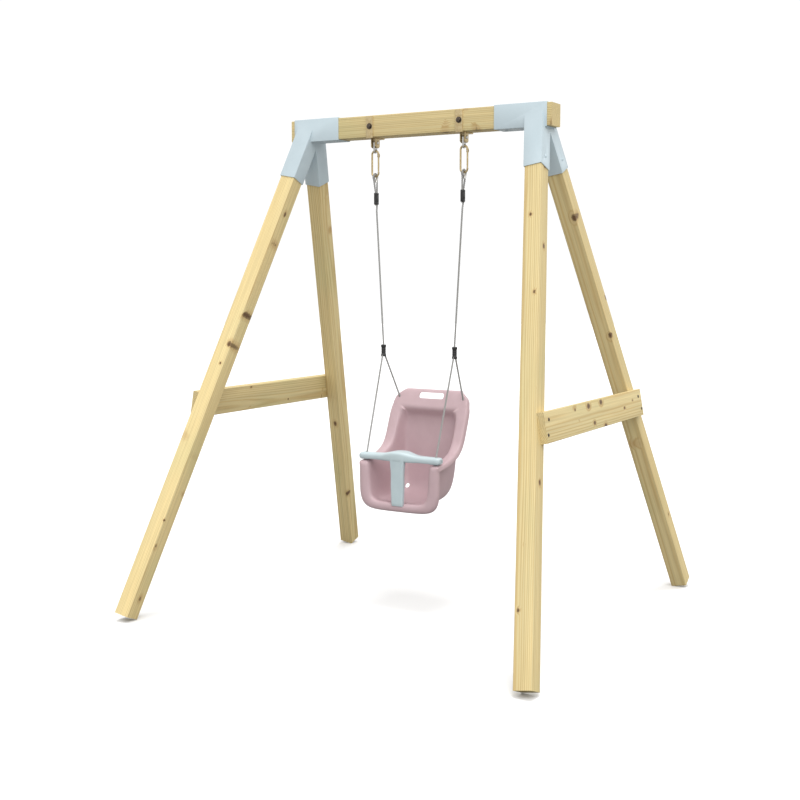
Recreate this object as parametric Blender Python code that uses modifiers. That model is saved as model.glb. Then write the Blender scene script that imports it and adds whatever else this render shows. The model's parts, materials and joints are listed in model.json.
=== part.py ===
"""Single timber swing frame with a toddler bucket seat on two ropes.

Metres, +Z up, origin on the floor under the middle of the beam.
The seat faces -Y, and left and right are -X and +X.
"""

import math

import bmesh
import bpy
from mathutils import Matrix, Vector

# Timber frame
BEAM_TOP = 2.100
BEAM_LENGTH = 1.242
BEAM_SECTION = 0.090
LEG_SECTION = 0.070
LEG_OFFSET = 0.547  # each A-frame crosses the beam's axis this far from the middle
LEG_DEPTH_OFFSET = 0.011
FRAME_LEAN = math.radians(10.0)
LEG_SPREAD = math.radians(22.3)
LEG_START = 0.080  # from the beam's axis down the leg to the timber's upper end
RAIL_HEIGHT = 0.115
RAIL_THICKNESS = 0.028
RAIL_OVERHANG = 0.014  # past the middle line of each leg
RAIL_MIDDLE = 0.875  # height of the rail's middle
TIMBER_EDGE = 0.003
TIMBER_GAP = 0.0005

# Steel corner brackets
BRACKET_WALL = 0.003
BRACKET_INNER_END = 0.373
BRACKET_OUTER_END = 0.603
BRACKET_LEG_LENGTH = 0.237

# Screws
SCREW_HEAD_RADIUS = 0.0065
SCREW_HEAD_HEIGHT = 0.0026
SCREW_SHANK_RADIUS = 0.003
SCREW_LENGTH = 0.050
RAIL_SCREW_SPACING = 0.055
RAIL_SCREW_INSET = 0.012  # from the leg's middle line towards the rail's middle

# Swing hangers
HANGER_SPACING = 0.429
STRAP_WIDTH = 0.034
STRAP_THICKNESS = 0.004
BOLT_RADIUS = 0.005
BOLT_HEAD_RADIUS = 0.0095
BOLT_HEAD_HEIGHT = 0.0065
BOLT_TAIL = 0.018  # past the strap at the back
WASHER_RADIUS = 0.0125
WASHER_THICKNESS = 0.002
PIVOT_DROP = 0.021  # from the beam's underside to the pivot
CLEVIS_WIDTH = 0.024
CLEVIS_DEPTH = 0.034
EAR_THICKNESS = 0.004
EAR_LENGTH = 0.023  # from the pivot to the ear's lower end
PIN_RADIUS = 0.004
BUSH_WALL = 0.0025
LINK_RADIUS = 0.0115
LINK_LENGTH = 0.033
LINK_EYE_RADIUS = 0.006
LINK_THICKNESS = 0.007
LINK_SEAT = 0.0009  # the carabiner's bend stays this far off the eye's lower edge

# Carabiners
CARABINER_WIRE = 0.0042  # radius of the steel
CARABINER_WIDTH = 0.032  # between the two long sides' middles
CARABINER_LENGTH = 0.109  # between the two ends' middles
GATE_LENGTH = 0.066
GATE_DROP = 0.006  # from the upper bend's end to the gate's rivet
RIVET_RADIUS = 0.0015
FORK_WIDTH = 0.009
FORK_CHEEK = 0.0016

# Ropes
ROPE_RADIUS = 0.0042
THIMBLE_HOLE = 0.009
THIMBLE_WALL = 0.002
THIMBLE_WIDTH = 0.0115
THIMBLE_SEAT = 0.0016  # the thimble's hole clears the carabiner's lower bend by this much
FERRULE_TOP = 1.776
FERRULE_LENGTH = 0.049
FERRULE_WALL = 0.0032
STRAND_SPACING = 0.0115
CLAMP_TOP = 1.123
CLAMP_LENGTH = 0.051
CLAMP_WALL = 0.0031
CLAMP_SPACING = 0.349
CLAMP_SOCKET = 0.014
KNOT_RADIUS = 0.009

# Bucket seat
SEAT_BASE = 0.430  # height of the front rim's lower edge
SEAT_HEIGHT = 0.495
SEAT_FRONT = -0.180
SEAT_DEPTH = 0.325
SEAT_WIDTH = 0.380
FLANGE_WIDTH = 0.043
FLANGE_LIP = 0.020
SHELL_WALL = 0.0042
FLANGE_LEAN = 0.58  # share of the depth the flange leans back, for each share of the height it rises
RECESS_SAG = {9: 0.010, 10: 0.035, 11: 0.050}  # station -> how far the recess's edge dips, share of height
# rows of the flat band above the recess: depth share, height share, width share, dip in the middle
FLANGE_ROWS = (
    (0.8635, 0.882, 0.960, 0.052),
    (0.8775, 0.900, 0.950, 0.030),
    (0.913, 0.940, 0.926, 0.0),
    (0.964, 0.994, 0.721, 0.0),
)
HANDLE_WIDTH = 0.122
HANDLE_HEIGHT = 0.025
HANDLE_MIDDLE = 0.0275  # below the seat's top
DRAIN_RADIUS = 0.009
DRAIN_X = 0.100
DRAIN_HEIGHT = 0.066  # above the seat's base
LEDGE_SLOT_WIDTH = 0.116
ROPE_HOLE_GAP = 0.0012
REAR_ROPE_X = 0.158
REAR_ROPE_DROP = 0.037  # below the seat's top
REAR_ROPE_DEPTH = 0.902  # share of the seat's depth

# T-shaped safety bar
BAR_LENGTH = 0.391
BAR_HEIGHT = 0.030
BAR_DEPTH = 0.046
BAR_MIDDLE_HEIGHT = 0.045
BAR_MIDDLE_DEPTH = 0.076
BAR_MIDDLE_FORWARD = 0.014  # how far the swollen middle stands out in front
BAR_HOLE_GAP = 0.003
BAR_WALL = 0.0028
BAR_BOSS = 0.018  # solid plastic from each rope's hole towards the middle
STEM_TOP_WIDTH = 0.067
STEM_FOOT_WIDTH = 0.056
STEM_THICKNESS = 0.020
STEM_INSET = 0.004  # behind the swollen middle's front
STEM_FOOT_HEIGHT = 0.026  # above the seat's base
FOOT_GAP = 0.0006

# Clearances
GAP = 0.0003
RUNNING_GAP = 0.0002

ROUND_STEPS = 16
SMALL_STEPS = 8
SHARP_ANGLE = math.radians(50.0)  # edges turning more than this stay sharp

BEAM_AXIS = BEAM_TOP - BEAM_SECTION / 2
BEAM_UNDER = BEAM_TOP - BEAM_SECTION
PIVOT_HEIGHT = BEAM_UNDER - PIVOT_DROP
HANGER_X = HANGER_SPACING / 2
CLAMP_X = CLAMP_SPACING / 2
CLAMP_RADIUS = 2 * ROPE_RADIUS + CLAMP_WALL

SIDES = (("left", -1), ("right", 1))
DEPTHS = (("front", -1), ("rear", 1))

parts = bpy.data.collections.new("toddler_bucket_swing")
cutters = bpy.data.collections.new("cutters")


# ---------------------------------------------------------------- scene and materials


def clear_scene():
    for obj in list(bpy.data.objects):
        bpy.data.objects.remove(obj, do_unlink=True)
    bpy.context.scene.collection.children.link(parts)
    bpy.context.scene.collection.children.link(cutters)


def material(name, colour, roughness, metallic=0.0):
    made = bpy.data.materials.new(name)
    made.use_nodes = True
    shader = made.node_tree.nodes["Principled BSDF"]
    shader.inputs["Base Color"].default_value = (*colour, 1.0)
    shader.inputs["Roughness"].default_value = roughness
    shader.inputs["Metallic"].default_value = metallic
    return made


clear_scene()
TIMBER = material("timber", (0.62, 0.47, 0.25), 0.65)
PAINTED_STEEL = material("painted_steel", (0.55, 0.65, 0.70), 0.40)
YELLOW_ZINC = material("yellow_zinc", (0.60, 0.45, 0.24), 0.35, 0.9)
DARK_STEEL = material("dark_steel", (0.09, 0.08, 0.07), 0.45, 0.8)
BRIGHT_STEEL = material("bright_steel", (0.72, 0.71, 0.69), 0.28, 1.0)
BLACK_PLASTIC = material("black_plastic", (0.03, 0.03, 0.03), 0.45)
NYLON = material("nylon", (0.75, 0.74, 0.70), 0.50)
ROPE = material("rope", (0.34, 0.34, 0.34), 0.80)
PINK_PLASTIC = material("pink_plastic", (0.66, 0.42, 0.46), 0.50)
BLUE_PLASTIC = material("pale_blue_plastic", (0.50, 0.64, 0.68), 0.42)


# ---------------------------------------------------------------- shapes


def place(name, mesh, finish, matrix=None, collection=parts):
    obj = bpy.data.objects.new(name, mesh)
    collection.objects.link(obj)
    if matrix is not None:
        obj.matrix_world = matrix
    if finish is not None and not mesh.materials:
        mesh.materials.append(finish)
    return obj


def mesh_of(name, bm):
    bmesh.ops.recalc_face_normals(bm, faces=bm.faces)
    mesh = bpy.data.meshes.new(name)
    bm.to_mesh(mesh)
    bm.free()
    return mesh


def smooth(obj):
    """Shades round faces smooth and leaves corners sharp."""
    obj.data.shade_smooth()
    obj.data.set_sharp_from_angle(angle=SHARP_ANGLE)
    return obj


def box(name, low, high, finish=None, matrix=None, collection=parts):
    """A box between two corners given in its own axes."""
    size = Vector(high) - Vector(low)
    middle = (Vector(high) + Vector(low)) / 2
    bm = bmesh.new()
    bmesh.ops.create_cube(bm, size=1.0, matrix=Matrix.Translation(middle) @ Matrix.Diagonal((*size, 1.0)))
    return place(name, mesh_of(name, bm), finish, matrix, collection)


def rod(name, radius, start, end, finish=None, steps=ROUND_STEPS, collection=parts):
    """A round bar between two points."""
    start = Vector(start)
    end = Vector(end)
    bm = bmesh.new()
    bmesh.ops.create_cone(
        bm, cap_ends=True, segments=steps, radius1=radius, radius2=radius, depth=(end - start).length
    )
    turn = (end - start).to_track_quat("Z", "Y").to_matrix().to_4x4()
    made = place(name, mesh_of(name, bm), finish, Matrix.Translation((start + end) / 2) @ turn, collection)
    return smooth(made)


def turned(name, profile, finish=None, matrix=None, steps=ROUND_STEPS, collection=parts):
    """A profile of (radius, height) points, top to bottom, turned round its own Z axis."""
    mesh = bpy.data.meshes.new(name)
    points = [(radius, 0.0, height) for radius, height in profile]
    closed = profile[0][0] > 0
    edges = [(i, i + 1) for i in range(len(points) - 1)]
    if closed:
        edges.append((len(points) - 1, 0))
    mesh.from_pydata(points, edges, [])
    obj = place(name, mesh, finish, matrix, collection)
    screw = obj.modifiers.new("turn", "SCREW")
    screw.steps = steps
    screw.render_steps = steps
    screw.use_merge_vertices = True
    screw.merge_threshold = 0.00001
    return obj


def curve_tube(name, points, radius, finish=None, resolution=2, collection=parts, cyclic=False):
    """A round tube along points, as a mesh with welded caps."""
    data = bpy.data.curves.new(name, "CURVE")
    data.dimensions = "3D"
    data.bevel_depth = radius
    data.bevel_resolution = resolution
    data.use_fill_caps = not cyclic
    spline = data.splines.new("POLY")
    spline.points.add(len(points) - 1)
    spline.use_cyclic_u = cyclic
    for target, point in zip(spline.points, points):
        target.co = (*point, 1.0)
    holder = bpy.data.objects.new(name + "_path", data)
    bpy.context.scene.collection.objects.link(holder)
    graph = bpy.context.evaluated_depsgraph_get()
    mesh = bpy.data.meshes.new_from_object(holder.evaluated_get(graph))
    mesh.name = name
    bpy.data.objects.remove(holder, do_unlink=True)
    bm = bmesh.new()
    bm.from_mesh(mesh)
    bmesh.ops.remove_doubles(bm, verts=bm.verts, dist=0.00001)
    bmesh.ops.recalc_face_normals(bm, faces=bm.faces)
    bm.to_mesh(mesh)
    bm.free()
    return smooth(place(name, mesh, finish, None, collection))


def loft(name, rings, finish=None, matrix=None, collection=parts):
    """A closed solid through rings of equal point counts, with flat ends."""
    bm = bmesh.new()
    loops = [[bm.verts.new(point) for point in ring] for ring in rings]
    count = len(loops[0])
    for near, far in zip(loops, loops[1:]):
        for i in range(count):
            j = (i + 1) % count
            bm.faces.new((near[i], near[j], far[j], far[i]))
    bm.faces.new(loops[0])
    bm.faces.new(loops[-1])
    return place(name, mesh_of(name, bm), finish, matrix, collection)


def prism(name, outline, half_thickness, finish=None, matrix=None, collection=parts, holes=()):
    """A flat outline in its own XY plane, filled and extruded both ways, with round or shaped holes."""
    data = bpy.data.curves.new(name, "CURVE")
    data.dimensions = "2D"
    data.fill_mode = "BOTH"
    data.extrude = half_thickness
    for loop in (outline, *holes):
        spline = data.splines.new("POLY")
        spline.points.add(len(loop) - 1)
        spline.use_cyclic_u = True
        for target, (x, y) in zip(spline.points, loop):
            target.co = (x, y, 0.0, 1.0)
    holder = bpy.data.objects.new(name + "_outline", data)
    bpy.context.scene.collection.objects.link(holder)
    graph = bpy.context.evaluated_depsgraph_get()
    mesh = bpy.data.meshes.new_from_object(holder.evaluated_get(graph))
    mesh.name = name
    bpy.data.objects.remove(holder, do_unlink=True)
    bm = bmesh.new()
    bm.from_mesh(mesh)
    bmesh.ops.remove_doubles(bm, verts=bm.verts, dist=0.00001)
    bmesh.ops.recalc_face_normals(bm, faces=bm.faces)
    bm.to_mesh(mesh)
    bm.free()
    return smooth(place(name, mesh, finish, matrix, collection))


def arc(centre, radius, start, end, steps):
    """Points on an arc, with angles in degrees."""
    angles = [math.radians(start + (end - start) * i / steps) for i in range(steps + 1)]
    return [(centre[0] + radius * math.cos(a), centre[1] + radius * math.sin(a)) for a in angles]


def rounded_rectangle(width, height, radius, steps=3):
    corners = (
        (width / 2 - radius, height / 2 - radius, 0),
        (-width / 2 + radius, height / 2 - radius, 90),
        (-width / 2 + radius, -height / 2 + radius, 180),
        (width / 2 - radius, -height / 2 + radius, 270),
    )
    points = []
    for x, y, angle in corners:
        points += arc((x, y), radius, angle, angle + 90, steps)
    return points


def boolean(target, other, operation):
    """Cuts or joins another object, which becomes a hidden helper."""
    if other.name not in cutters.objects:
        for home in list(other.users_collection):
            home.objects.unlink(other)
        cutters.objects.link(other)
    other.hide_render = True
    other.display_type = "WIRE"
    modifier = target.modifiers.new(operation.lower(), "BOOLEAN")
    modifier.operation = operation
    modifier.object = other


def cut(target, other):
    boolean(target, other, "DIFFERENCE")


def join(target, other):
    boolean(target, other, "UNION")


def bevel(obj, width, segments=1):
    modifier = obj.modifiers.new("edges", "BEVEL")
    modifier.width = width
    modifier.segments = segments
    modifier.limit_method = "ANGLE"


def axis_frame(origin, x_axis, z_axis):
    """A matrix with its origin and two of its axes set."""
    x_axis = Vector(x_axis).normalized()
    z_axis = Vector(z_axis).normalized()
    y_axis = z_axis.cross(x_axis)
    turn = Matrix((x_axis, y_axis, z_axis)).transposed().to_4x4()
    return Matrix.Translation(Vector(origin)) @ turn


# ---------------------------------------------------------------- timber frame


def outward(side):
    """The direction that an A-frame's outer face looks in."""
    return Vector((side * math.cos(FRAME_LEAN), 0.0, math.sin(FRAME_LEAN)))


def down_slope(side):
    return Vector((side * math.sin(FRAME_LEAN), 0.0, -math.cos(FRAME_LEAN)))


def down_leg(side, depth):
    return down_slope(side) * math.cos(LEG_SPREAD) + Vector((0.0, depth * math.sin(LEG_SPREAD), 0.0))


def leg_frame(side, depth):
    """The leg's own axes: X out of the A-frame, Z up the leg, with the origin beside the beam's axis."""
    origin = (side * LEG_OFFSET, depth * LEG_DEPTH_OFFSET, BEAM_AXIS)
    return axis_frame(origin, outward(side), -down_leg(side, depth))


def leg_distance(drop):
    """From the A-frame's middle to a leg's middle line, this far down the slope."""
    return LEG_DEPTH_OFFSET + drop * math.tan(LEG_SPREAD)


def leg_end(side, depth):
    """How far down the leg the foot's lowest corner meets the floor."""
    frame = leg_frame(side, depth)
    tilts = (abs(frame[2][0]), abs(frame[2][1]))
    corner_drop = (LEG_SECTION / 2 - TIMBER_EDGE) * sum(tilts)
    return (BEAM_AXIS - corner_drop) / frame[2][2]


def bolt_bore(target, x):
    """Cuts a hanger bolt's hole right through a piece."""
    start = (x, -BEAM_SECTION, BEAM_AXIS)
    end = (x, BEAM_SECTION, BEAM_AXIS)
    cut(target, rod(target.name + "_bolt_bore", BOLT_RADIUS + GAP, start, end, steps=SMALL_STEPS))


def make_beam():
    half = BEAM_SECTION / 2
    beam = box(
        "beam", (-BEAM_LENGTH / 2, -half, BEAM_UNDER), (BEAM_LENGTH / 2, half, BEAM_TOP), TIMBER
    )
    bevel(beam, TIMBER_EDGE)
    for _, side in SIDES:
        x = side * HANGER_X
        bolt_bore(beam, x)
    return beam


def make_legs():
    legs = {}
    half = LEG_SECTION / 2
    for side_name, side in SIDES:
        for depth_name, depth in DEPTHS:
            leg = box(
                f"leg_{depth_name}_{side_name}",
                (-half, -half, -leg_end(side, depth)),
                (half, half, -LEG_START),
                TIMBER,
                leg_frame(side, depth),
            )
            bevel(leg, TIMBER_EDGE)
            legs[side, depth] = leg
    return legs


def rail_frame(side):
    """The rail's own axes: X out of the A-frame, Y along the rail, with the origin at its middle."""
    offset = LEG_SECTION / 2 + GAP + RAIL_THICKNESS / 2
    drop = (BEAM_AXIS + outward(side).z * offset - RAIL_MIDDLE) / math.cos(FRAME_LEAN)
    origin = Vector((side * LEG_OFFSET, 0.0, BEAM_AXIS)) + down_slope(side) * drop + outward(side) * offset
    return axis_frame(origin, outward(side), -down_slope(side)), drop


def make_rails():
    rails = {}
    for side_name, side in SIDES:
        frame, drop = rail_frame(side)
        half = leg_distance(drop) + RAIL_OVERHANG
        rail = box(
            f"rail_{side_name}",
            (-RAIL_THICKNESS / 2, -half, -RAIL_HEIGHT / 2),
            (RAIL_THICKNESS / 2, half, RAIL_HEIGHT / 2),
            TIMBER,
            frame,
        )
        bevel(rail, TIMBER_EDGE)
        rails[side] = rail
    return rails


# ---------------------------------------------------------------- corner brackets


def make_brackets():
    brackets = {}
    beam_half = BEAM_SECTION / 2 + TIMBER_GAP
    beam_outer = beam_half + BRACKET_WALL
    leg_half = LEG_SECTION / 2 + TIMBER_GAP
    leg_outer = leg_half + BRACKET_WALL
    for side_name, side in SIDES:
        ends = sorted((side * BRACKET_INNER_END, side * BRACKET_OUTER_END))
        pieces = []
        for depth_name, depth in DEPTHS:
            tag = f"{side_name}_{depth_name}"
            frame = leg_frame(side, depth)
            sleeve = box(
                f"leg_sleeve_{tag}",
                (-leg_outer, -leg_outer, -BRACKET_LEG_LENGTH),
                (leg_outer, leg_outer, 0.0),
                PAINTED_STEEL,
                frame,
                cutters,
            )
            bore = box(
                f"leg_bore_{tag}",
                (-leg_half, -leg_half, -BRACKET_LEG_LENGTH - 0.05),
                (leg_half, leg_half, -0.02),
                None,
                frame,
                cutters,
            )
            pieces.append((sleeve, bore))
        first = pieces[0][0]
        first.hide_render = True
        bracket = place(f"bracket_{side_name}", first.data.copy(), PAINTED_STEEL, first.matrix_world)
        join(bracket, pieces[1][0])
        cut(bracket, pieces[0][1])
        cut(bracket, pieces[1][1])
        outer = box(
            f"beam_sleeve_{side_name}",
            (ends[0], -beam_outer, BEAM_AXIS - beam_outer),
            (ends[1], beam_outer, BEAM_AXIS + beam_outer),
            PAINTED_STEEL,
            None,
            cutters,
        )
        join(bracket, outer)
        inner = box(
            f"beam_bore_{side_name}",
            (ends[0] - 0.05, -beam_half, BEAM_AXIS - beam_half),
            (ends[1] + 0.05, beam_half, BEAM_AXIS + beam_half),
            None,
            None,
            cutters,
        )
        cut(bracket, inner)
        brackets[side] = bracket
    return brackets


# ---------------------------------------------------------------- screws


def screw_profile():
    """A pan-head screw whose head sits on z = 0, with its shank below."""
    head = SCREW_HEAD_RADIUS
    shank = SCREW_SHANK_RADIUS
    height = SCREW_HEAD_HEIGHT
    return [
        (0.0, height),
        (head * 0.62, height),
        (head * 0.92, height * 0.65),
        (head, 0.0),
        (shank, 0.0),
        (shank, -SCREW_LENGTH),
        (0.0, -SCREW_LENGTH - shank),
    ]


def drive_screw(name, point, direction, finish, through):
    """Puts a screw at a point on a face, its head towards direction, and bores what it goes through."""
    direction = Vector(direction).normalized()
    point = Vector(point) + direction * GAP
    turn = direction.to_track_quat("Z", "Y").to_matrix().to_4x4()
    turned(name, screw_profile(), finish, Matrix.Translation(point) @ turn, SMALL_STEPS)
    deepest = point - direction * (SCREW_LENGTH + SCREW_SHANK_RADIUS + 0.002)
    for target in through:
        bore = rod(
            name + "_bore",
            SCREW_SHANK_RADIUS + GAP,
            deepest,
            point + direction * 0.01,
            steps=SMALL_STEPS,
            collection=cutters,
        )
        cut(target, bore)


def make_screws(legs, rails, brackets, beam):
    for side_name, side in SIDES:
        frame, drop = rail_frame(side)
        for depth_name, depth in DEPTHS:
            leg_place = leg_frame(side, depth)
            sleeve_face = LEG_SECTION / 2 + TIMBER_GAP + BRACKET_WALL
            spot = leg_place @ Vector((sleeve_face, 0.0, -BRACKET_LEG_LENGTH + 0.045))
            drive_screw(
                f"bracket_screw_{depth_name}_{side_name}",
                spot,
                outward(side),
                PAINTED_STEEL,
                (brackets[side], legs[side, depth]),
            )
            for row, lift in (("upper", 1), ("lower", -1)):
                height = lift * RAIL_SCREW_SPACING / 2
                along = leg_distance(drop - height) - RAIL_SCREW_INSET
                spot = frame @ Vector((RAIL_THICKNESS / 2, 0.0, height)) + Vector((0.0, depth * along, 0.0))
                drive_screw(
                    f"rail_screw_{row}_{depth_name}_{side_name}",
                    spot,
                    outward(side),
                    DARK_STEEL,
                    (rails[side], legs[side, depth]),
                )
        sleeve_under = BEAM_UNDER - TIMBER_GAP - BRACKET_WALL
        drive_screw(
            f"bracket_screw_beam_{side_name}",
            (side * (BRACKET_INNER_END + 0.035), 0.0, sleeve_under),
            (0.0, 0.0, -1.0),
            PAINTED_STEEL,
            (brackets[side], beam),
        )


# ---------------------------------------------------------------- hangers


def across(x, y, z):
    """A frame whose Z axis runs along the pivot, with its XY plane in the swing's own plane."""
    return axis_frame((x, y, z), (0.0, 1.0, 0.0), (1.0, 0.0, 0.0))


def make_hanger(name, side):
    x = side * HANGER_X
    half = STRAP_WIDTH / 2
    inner = BEAM_SECTION / 2 + GAP
    outer = inner + STRAP_THICKNESS
    under = BEAM_UNDER - GAP
    top = BEAM_TOP - TIMBER_EDGE

    strap = box(
        f"hanger_strap_{name}",
        (x - half, -outer, under - STRAP_THICKNESS),
        (x + half, outer, top),
        YELLOW_ZINC,
    )
    cut(strap, box(f"strap_inside_{name}", (x - 0.05, -inner, under), (x + 0.05, inner, top + 0.05)))
    half_depth = CLEVIS_DEPTH / 2
    ear_top = PIVOT_DROP - 0.002
    ear_outline = [
        (-half_depth, ear_top),
        *[(max(-half_depth, min(half_depth, px)), py) for px, py in arc((0, 0), EAR_LENGTH, 222, 318, 8)],
        (half_depth, ear_top),
    ]
    for edge in (-1, 1):
        ear_x = x + edge * (CLEVIS_WIDTH - EAR_THICKNESS) / 2
        ear = prism(
            f"ear_{name}_{edge}", ear_outline, EAR_THICKNESS / 2, None, across(ear_x, 0.0, PIVOT_HEIGHT)
        )
        join(strap, ear)
    pin_bore = rod(
        f"pin_bore_{name}", PIN_RADIUS + RUNNING_GAP, (x - 0.03, 0, PIVOT_HEIGHT), (x + 0.03, 0, PIVOT_HEIGHT)
    )
    cut(strap, pin_bore)
    bolt_bore(strap, x)

    make_through_bolt(name, x, outer)
    make_pivot(name, x)


def make_through_bolt(name, x, face):
    """A hexagon bolt through the strap and the beam, with its head on the front and its nut at the back."""
    forward = axis_frame((x, -face - GAP, BEAM_AXIS), (1.0, 0.0, 0.0), (0.0, -1.0, 0.0))
    washer = [
        (WASHER_RADIUS, WASHER_THICKNESS),
        (WASHER_RADIUS, 0.0),
        (BOLT_RADIUS + GAP, 0.0),
        (BOLT_RADIUS + GAP, WASHER_THICKNESS),
    ]
    turned(f"hanger_washer_{name}", washer, DARK_STEEL, forward, SMALL_STEPS)
    tail = 2 * face + BOLT_TAIL
    shank = rod(
        f"hanger_bolt_{name}",
        BOLT_RADIUS,
        (x, -face - WASHER_THICKNESS - 2 * GAP - BOLT_HEAD_HEIGHT / 2, BEAM_AXIS),
        (x, -face + tail, BEAM_AXIS),
        DARK_STEEL,
        SMALL_STEPS,
    )
    head_start = -face - WASHER_THICKNESS - 2 * GAP
    head = rod(
        f"bolt_head_{name}",
        BOLT_HEAD_RADIUS,
        (x, head_start - BOLT_HEAD_HEIGHT, BEAM_AXIS),
        (x, head_start, BEAM_AXIS),
        steps=6,
    )
    join(shank, head)
    nut = rod(
        f"hanger_nut_{name}",
        BOLT_HEAD_RADIUS,
        (x, face + GAP, BEAM_AXIS),
        (x, face + GAP + BOLT_HEAD_HEIGHT * 1.2, BEAM_AXIS),
        DARK_STEEL,
        6,
    )
    bolt_bore(nut, x)


def make_pivot(name, x):
    """The headed pin through the ears, the nylon bush on it and the steel link that swings."""
    half = CLEVIS_WIDTH / 2
    head = 0.0022
    profile = [
        (0.0, half + GAP + head),
        (PIN_RADIUS * 1.55, half + GAP + head),
        (PIN_RADIUS * 1.8, half + GAP),
        (PIN_RADIUS, half + GAP),
        (PIN_RADIUS, -half - GAP),
        (PIN_RADIUS * 1.8, -half - GAP),
        (PIN_RADIUS * 1.55, -half - GAP - head),
        (0.0, -half - GAP - head),
    ]
    axis = across(x, 0.0, PIVOT_HEIGHT)
    turned(f"pivot_pin_{name}", profile, BRIGHT_STEEL, axis)
    bush_inner = PIN_RADIUS + RUNNING_GAP
    bush_outer = PIN_RADIUS + BUSH_WALL
    bush_half = CLEVIS_WIDTH / 2 - EAR_THICKNESS - GAP
    bush_profile = [
        (bush_outer, bush_half),
        (bush_outer, -bush_half),
        (bush_inner, -bush_half),
        (bush_inner, bush_half),
    ]
    turned(f"pivot_bush_{name}", bush_profile, NYLON, axis)
    link = prism(
        f"hanger_link_{name}",
        [
            *arc((0.0, 0.0), LINK_RADIUS, 0, 180, 10),
            *arc((0.0, -LINK_LENGTH), LINK_RADIUS, 180, 360, 10),
        ],
        LINK_THICKNESS / 2,
        BRIGHT_STEEL,
        axis,
    )
    low = PIVOT_HEIGHT - LINK_LENGTH
    left = x - CLEVIS_WIDTH
    right = x + CLEVIS_WIDTH
    cut(link, rod(f"link_bore_{name}", bush_outer + GAP, (left, 0, PIVOT_HEIGHT), (right, 0, PIVOT_HEIGHT)))
    cut(link, rod(f"link_eye_{name}", LINK_EYE_RADIUS, (left, 0, low), (right, 0, low)))


# ---------------------------------------------------------------- carabiners

CARABINER_TOP = PIVOT_HEIGHT - LINK_LENGTH - LINK_EYE_RADIUS + CARABINER_WIRE + LINK_SEAT
CARABINER_BOTTOM = CARABINER_TOP - CARABINER_LENGTH
CARABINER_BEND = CARABINER_WIDTH / 2
GATE_PIVOT = CARABINER_TOP - CARABINER_BEND - GATE_DROP
GATE_TIP = GATE_PIVOT - GATE_LENGTH
GATE_RADIUS = CARABINER_WIRE * 0.9


def make_carabiner(name, x):
    """A wire loop in the frontal plane, open on its right side where the gate closes it."""
    half = CARABINER_WIDTH / 2
    top = CARABINER_TOP - CARABINER_BEND
    bottom = CARABINER_BOTTOM + CARABINER_BEND
    wire = [(half, GATE_PIVOT + CARABINER_WIRE + 0.0015)]
    wire += arc((0.0, top), CARABINER_BEND, 0, 180, 10)
    wire += arc((0.0, bottom), CARABINER_BEND, 180, 360, 10)
    wire.append((half, GATE_TIP - 0.0012))
    body = curve_tube(
        f"carabiner_{name}", [(x + px, 0.0, pz) for px, pz in wire], CARABINER_WIRE, YELLOW_ZINC, 2
    )
    fork_half = CARABINER_WIRE + FORK_CHEEK
    fork = box(
        f"carabiner_fork_{name}",
        (x + half - FORK_WIDTH / 2, -fork_half, GATE_PIVOT - 0.0055),
        (x + half + FORK_WIDTH / 2, fork_half, GATE_PIVOT + CARABINER_WIRE + 0.006),
    )
    join(body, fork)
    slot = box(
        f"carabiner_slot_{name}",
        (x + half - 2 * FORK_WIDTH, -GATE_RADIUS - GAP, GATE_PIVOT - 0.02),
        (x + half + 2 * FORK_WIDTH, GATE_RADIUS + GAP, GATE_PIVOT + CARABINER_WIRE + 0.001),
    )
    cut(body, slot)
    rivet_radius = RIVET_RADIUS
    near = (x + half, -CARABINER_WIDTH / 2, GATE_PIVOT)
    far = (x + half, CARABINER_WIDTH / 2, GATE_PIVOT)
    cut(body, rod(f"rivet_bore_{name}", rivet_radius + RUNNING_GAP, near, far, steps=SMALL_STEPS))
    rivet_half = fork_half + GAP
    rivet = [
        (0.0, rivet_half + 0.0008),
        (rivet_radius * 1.7, rivet_half),
        (rivet_radius, rivet_half),
        (rivet_radius, -rivet_half),
        (rivet_radius * 1.7, -rivet_half),
        (0.0, -rivet_half - 0.0008),
    ]
    along_y = axis_frame((x + half, 0.0, GATE_PIVOT), (1.0, 0.0, 0.0), (0.0, -1.0, 0.0))
    turned(f"carabiner_rivet_{name}", rivet, BRIGHT_STEEL, along_y, SMALL_STEPS)

    gate = rod(
        f"carabiner_gate_{name}",
        GATE_RADIUS,
        (x + half, 0.0, GATE_PIVOT + 0.0035),
        (x + half, 0.0, GATE_TIP),
        YELLOW_ZINC,
        SMALL_STEPS,
    )
    cut(gate, rod(f"gate_bore_{name}", rivet_radius + RUNNING_GAP, near, far, steps=SMALL_STEPS))


# ---------------------------------------------------------------- ropes

THIMBLE_MIDDLE = CARABINER_BOTTOM + CARABINER_WIRE + THIMBLE_SEAT - THIMBLE_HOLE
LOOP_RADIUS = THIMBLE_HOLE + THIMBLE_WALL + ROPE_RADIUS + GAP
FERRULE_BOTTOM = FERRULE_TOP - FERRULE_LENGTH
CLAMP_BOTTOM = CLAMP_TOP - CLAMP_LENGTH
FERRULE_X = HANGER_X - (HANGER_X - CLAMP_X) * 0.12
BAR_UNDER = 0.6415
FRONT_ROPE_X = 0.168
FRONT_ROPE_Y = SEAT_FRONT + 0.022
LINE_TOP = Vector((CLAMP_X, -ROPE_RADIUS - 0.001, CLAMP_BOTTOM + CLAMP_SOCKET))
LINE_FRONT = Vector((FRONT_ROPE_X, FRONT_ROPE_Y, BAR_UNDER))
SEAT_TOP = SEAT_BASE + SEAT_HEIGHT
LINE_REAR = Vector((REAR_ROPE_X, SEAT_FRONT + SEAT_DEPTH * REAR_ROPE_DEPTH, SEAT_TOP - REAR_ROPE_DROP))


def mirrored(point, side):
    return Vector((point[0] * side, point[1], point[2]))


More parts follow.
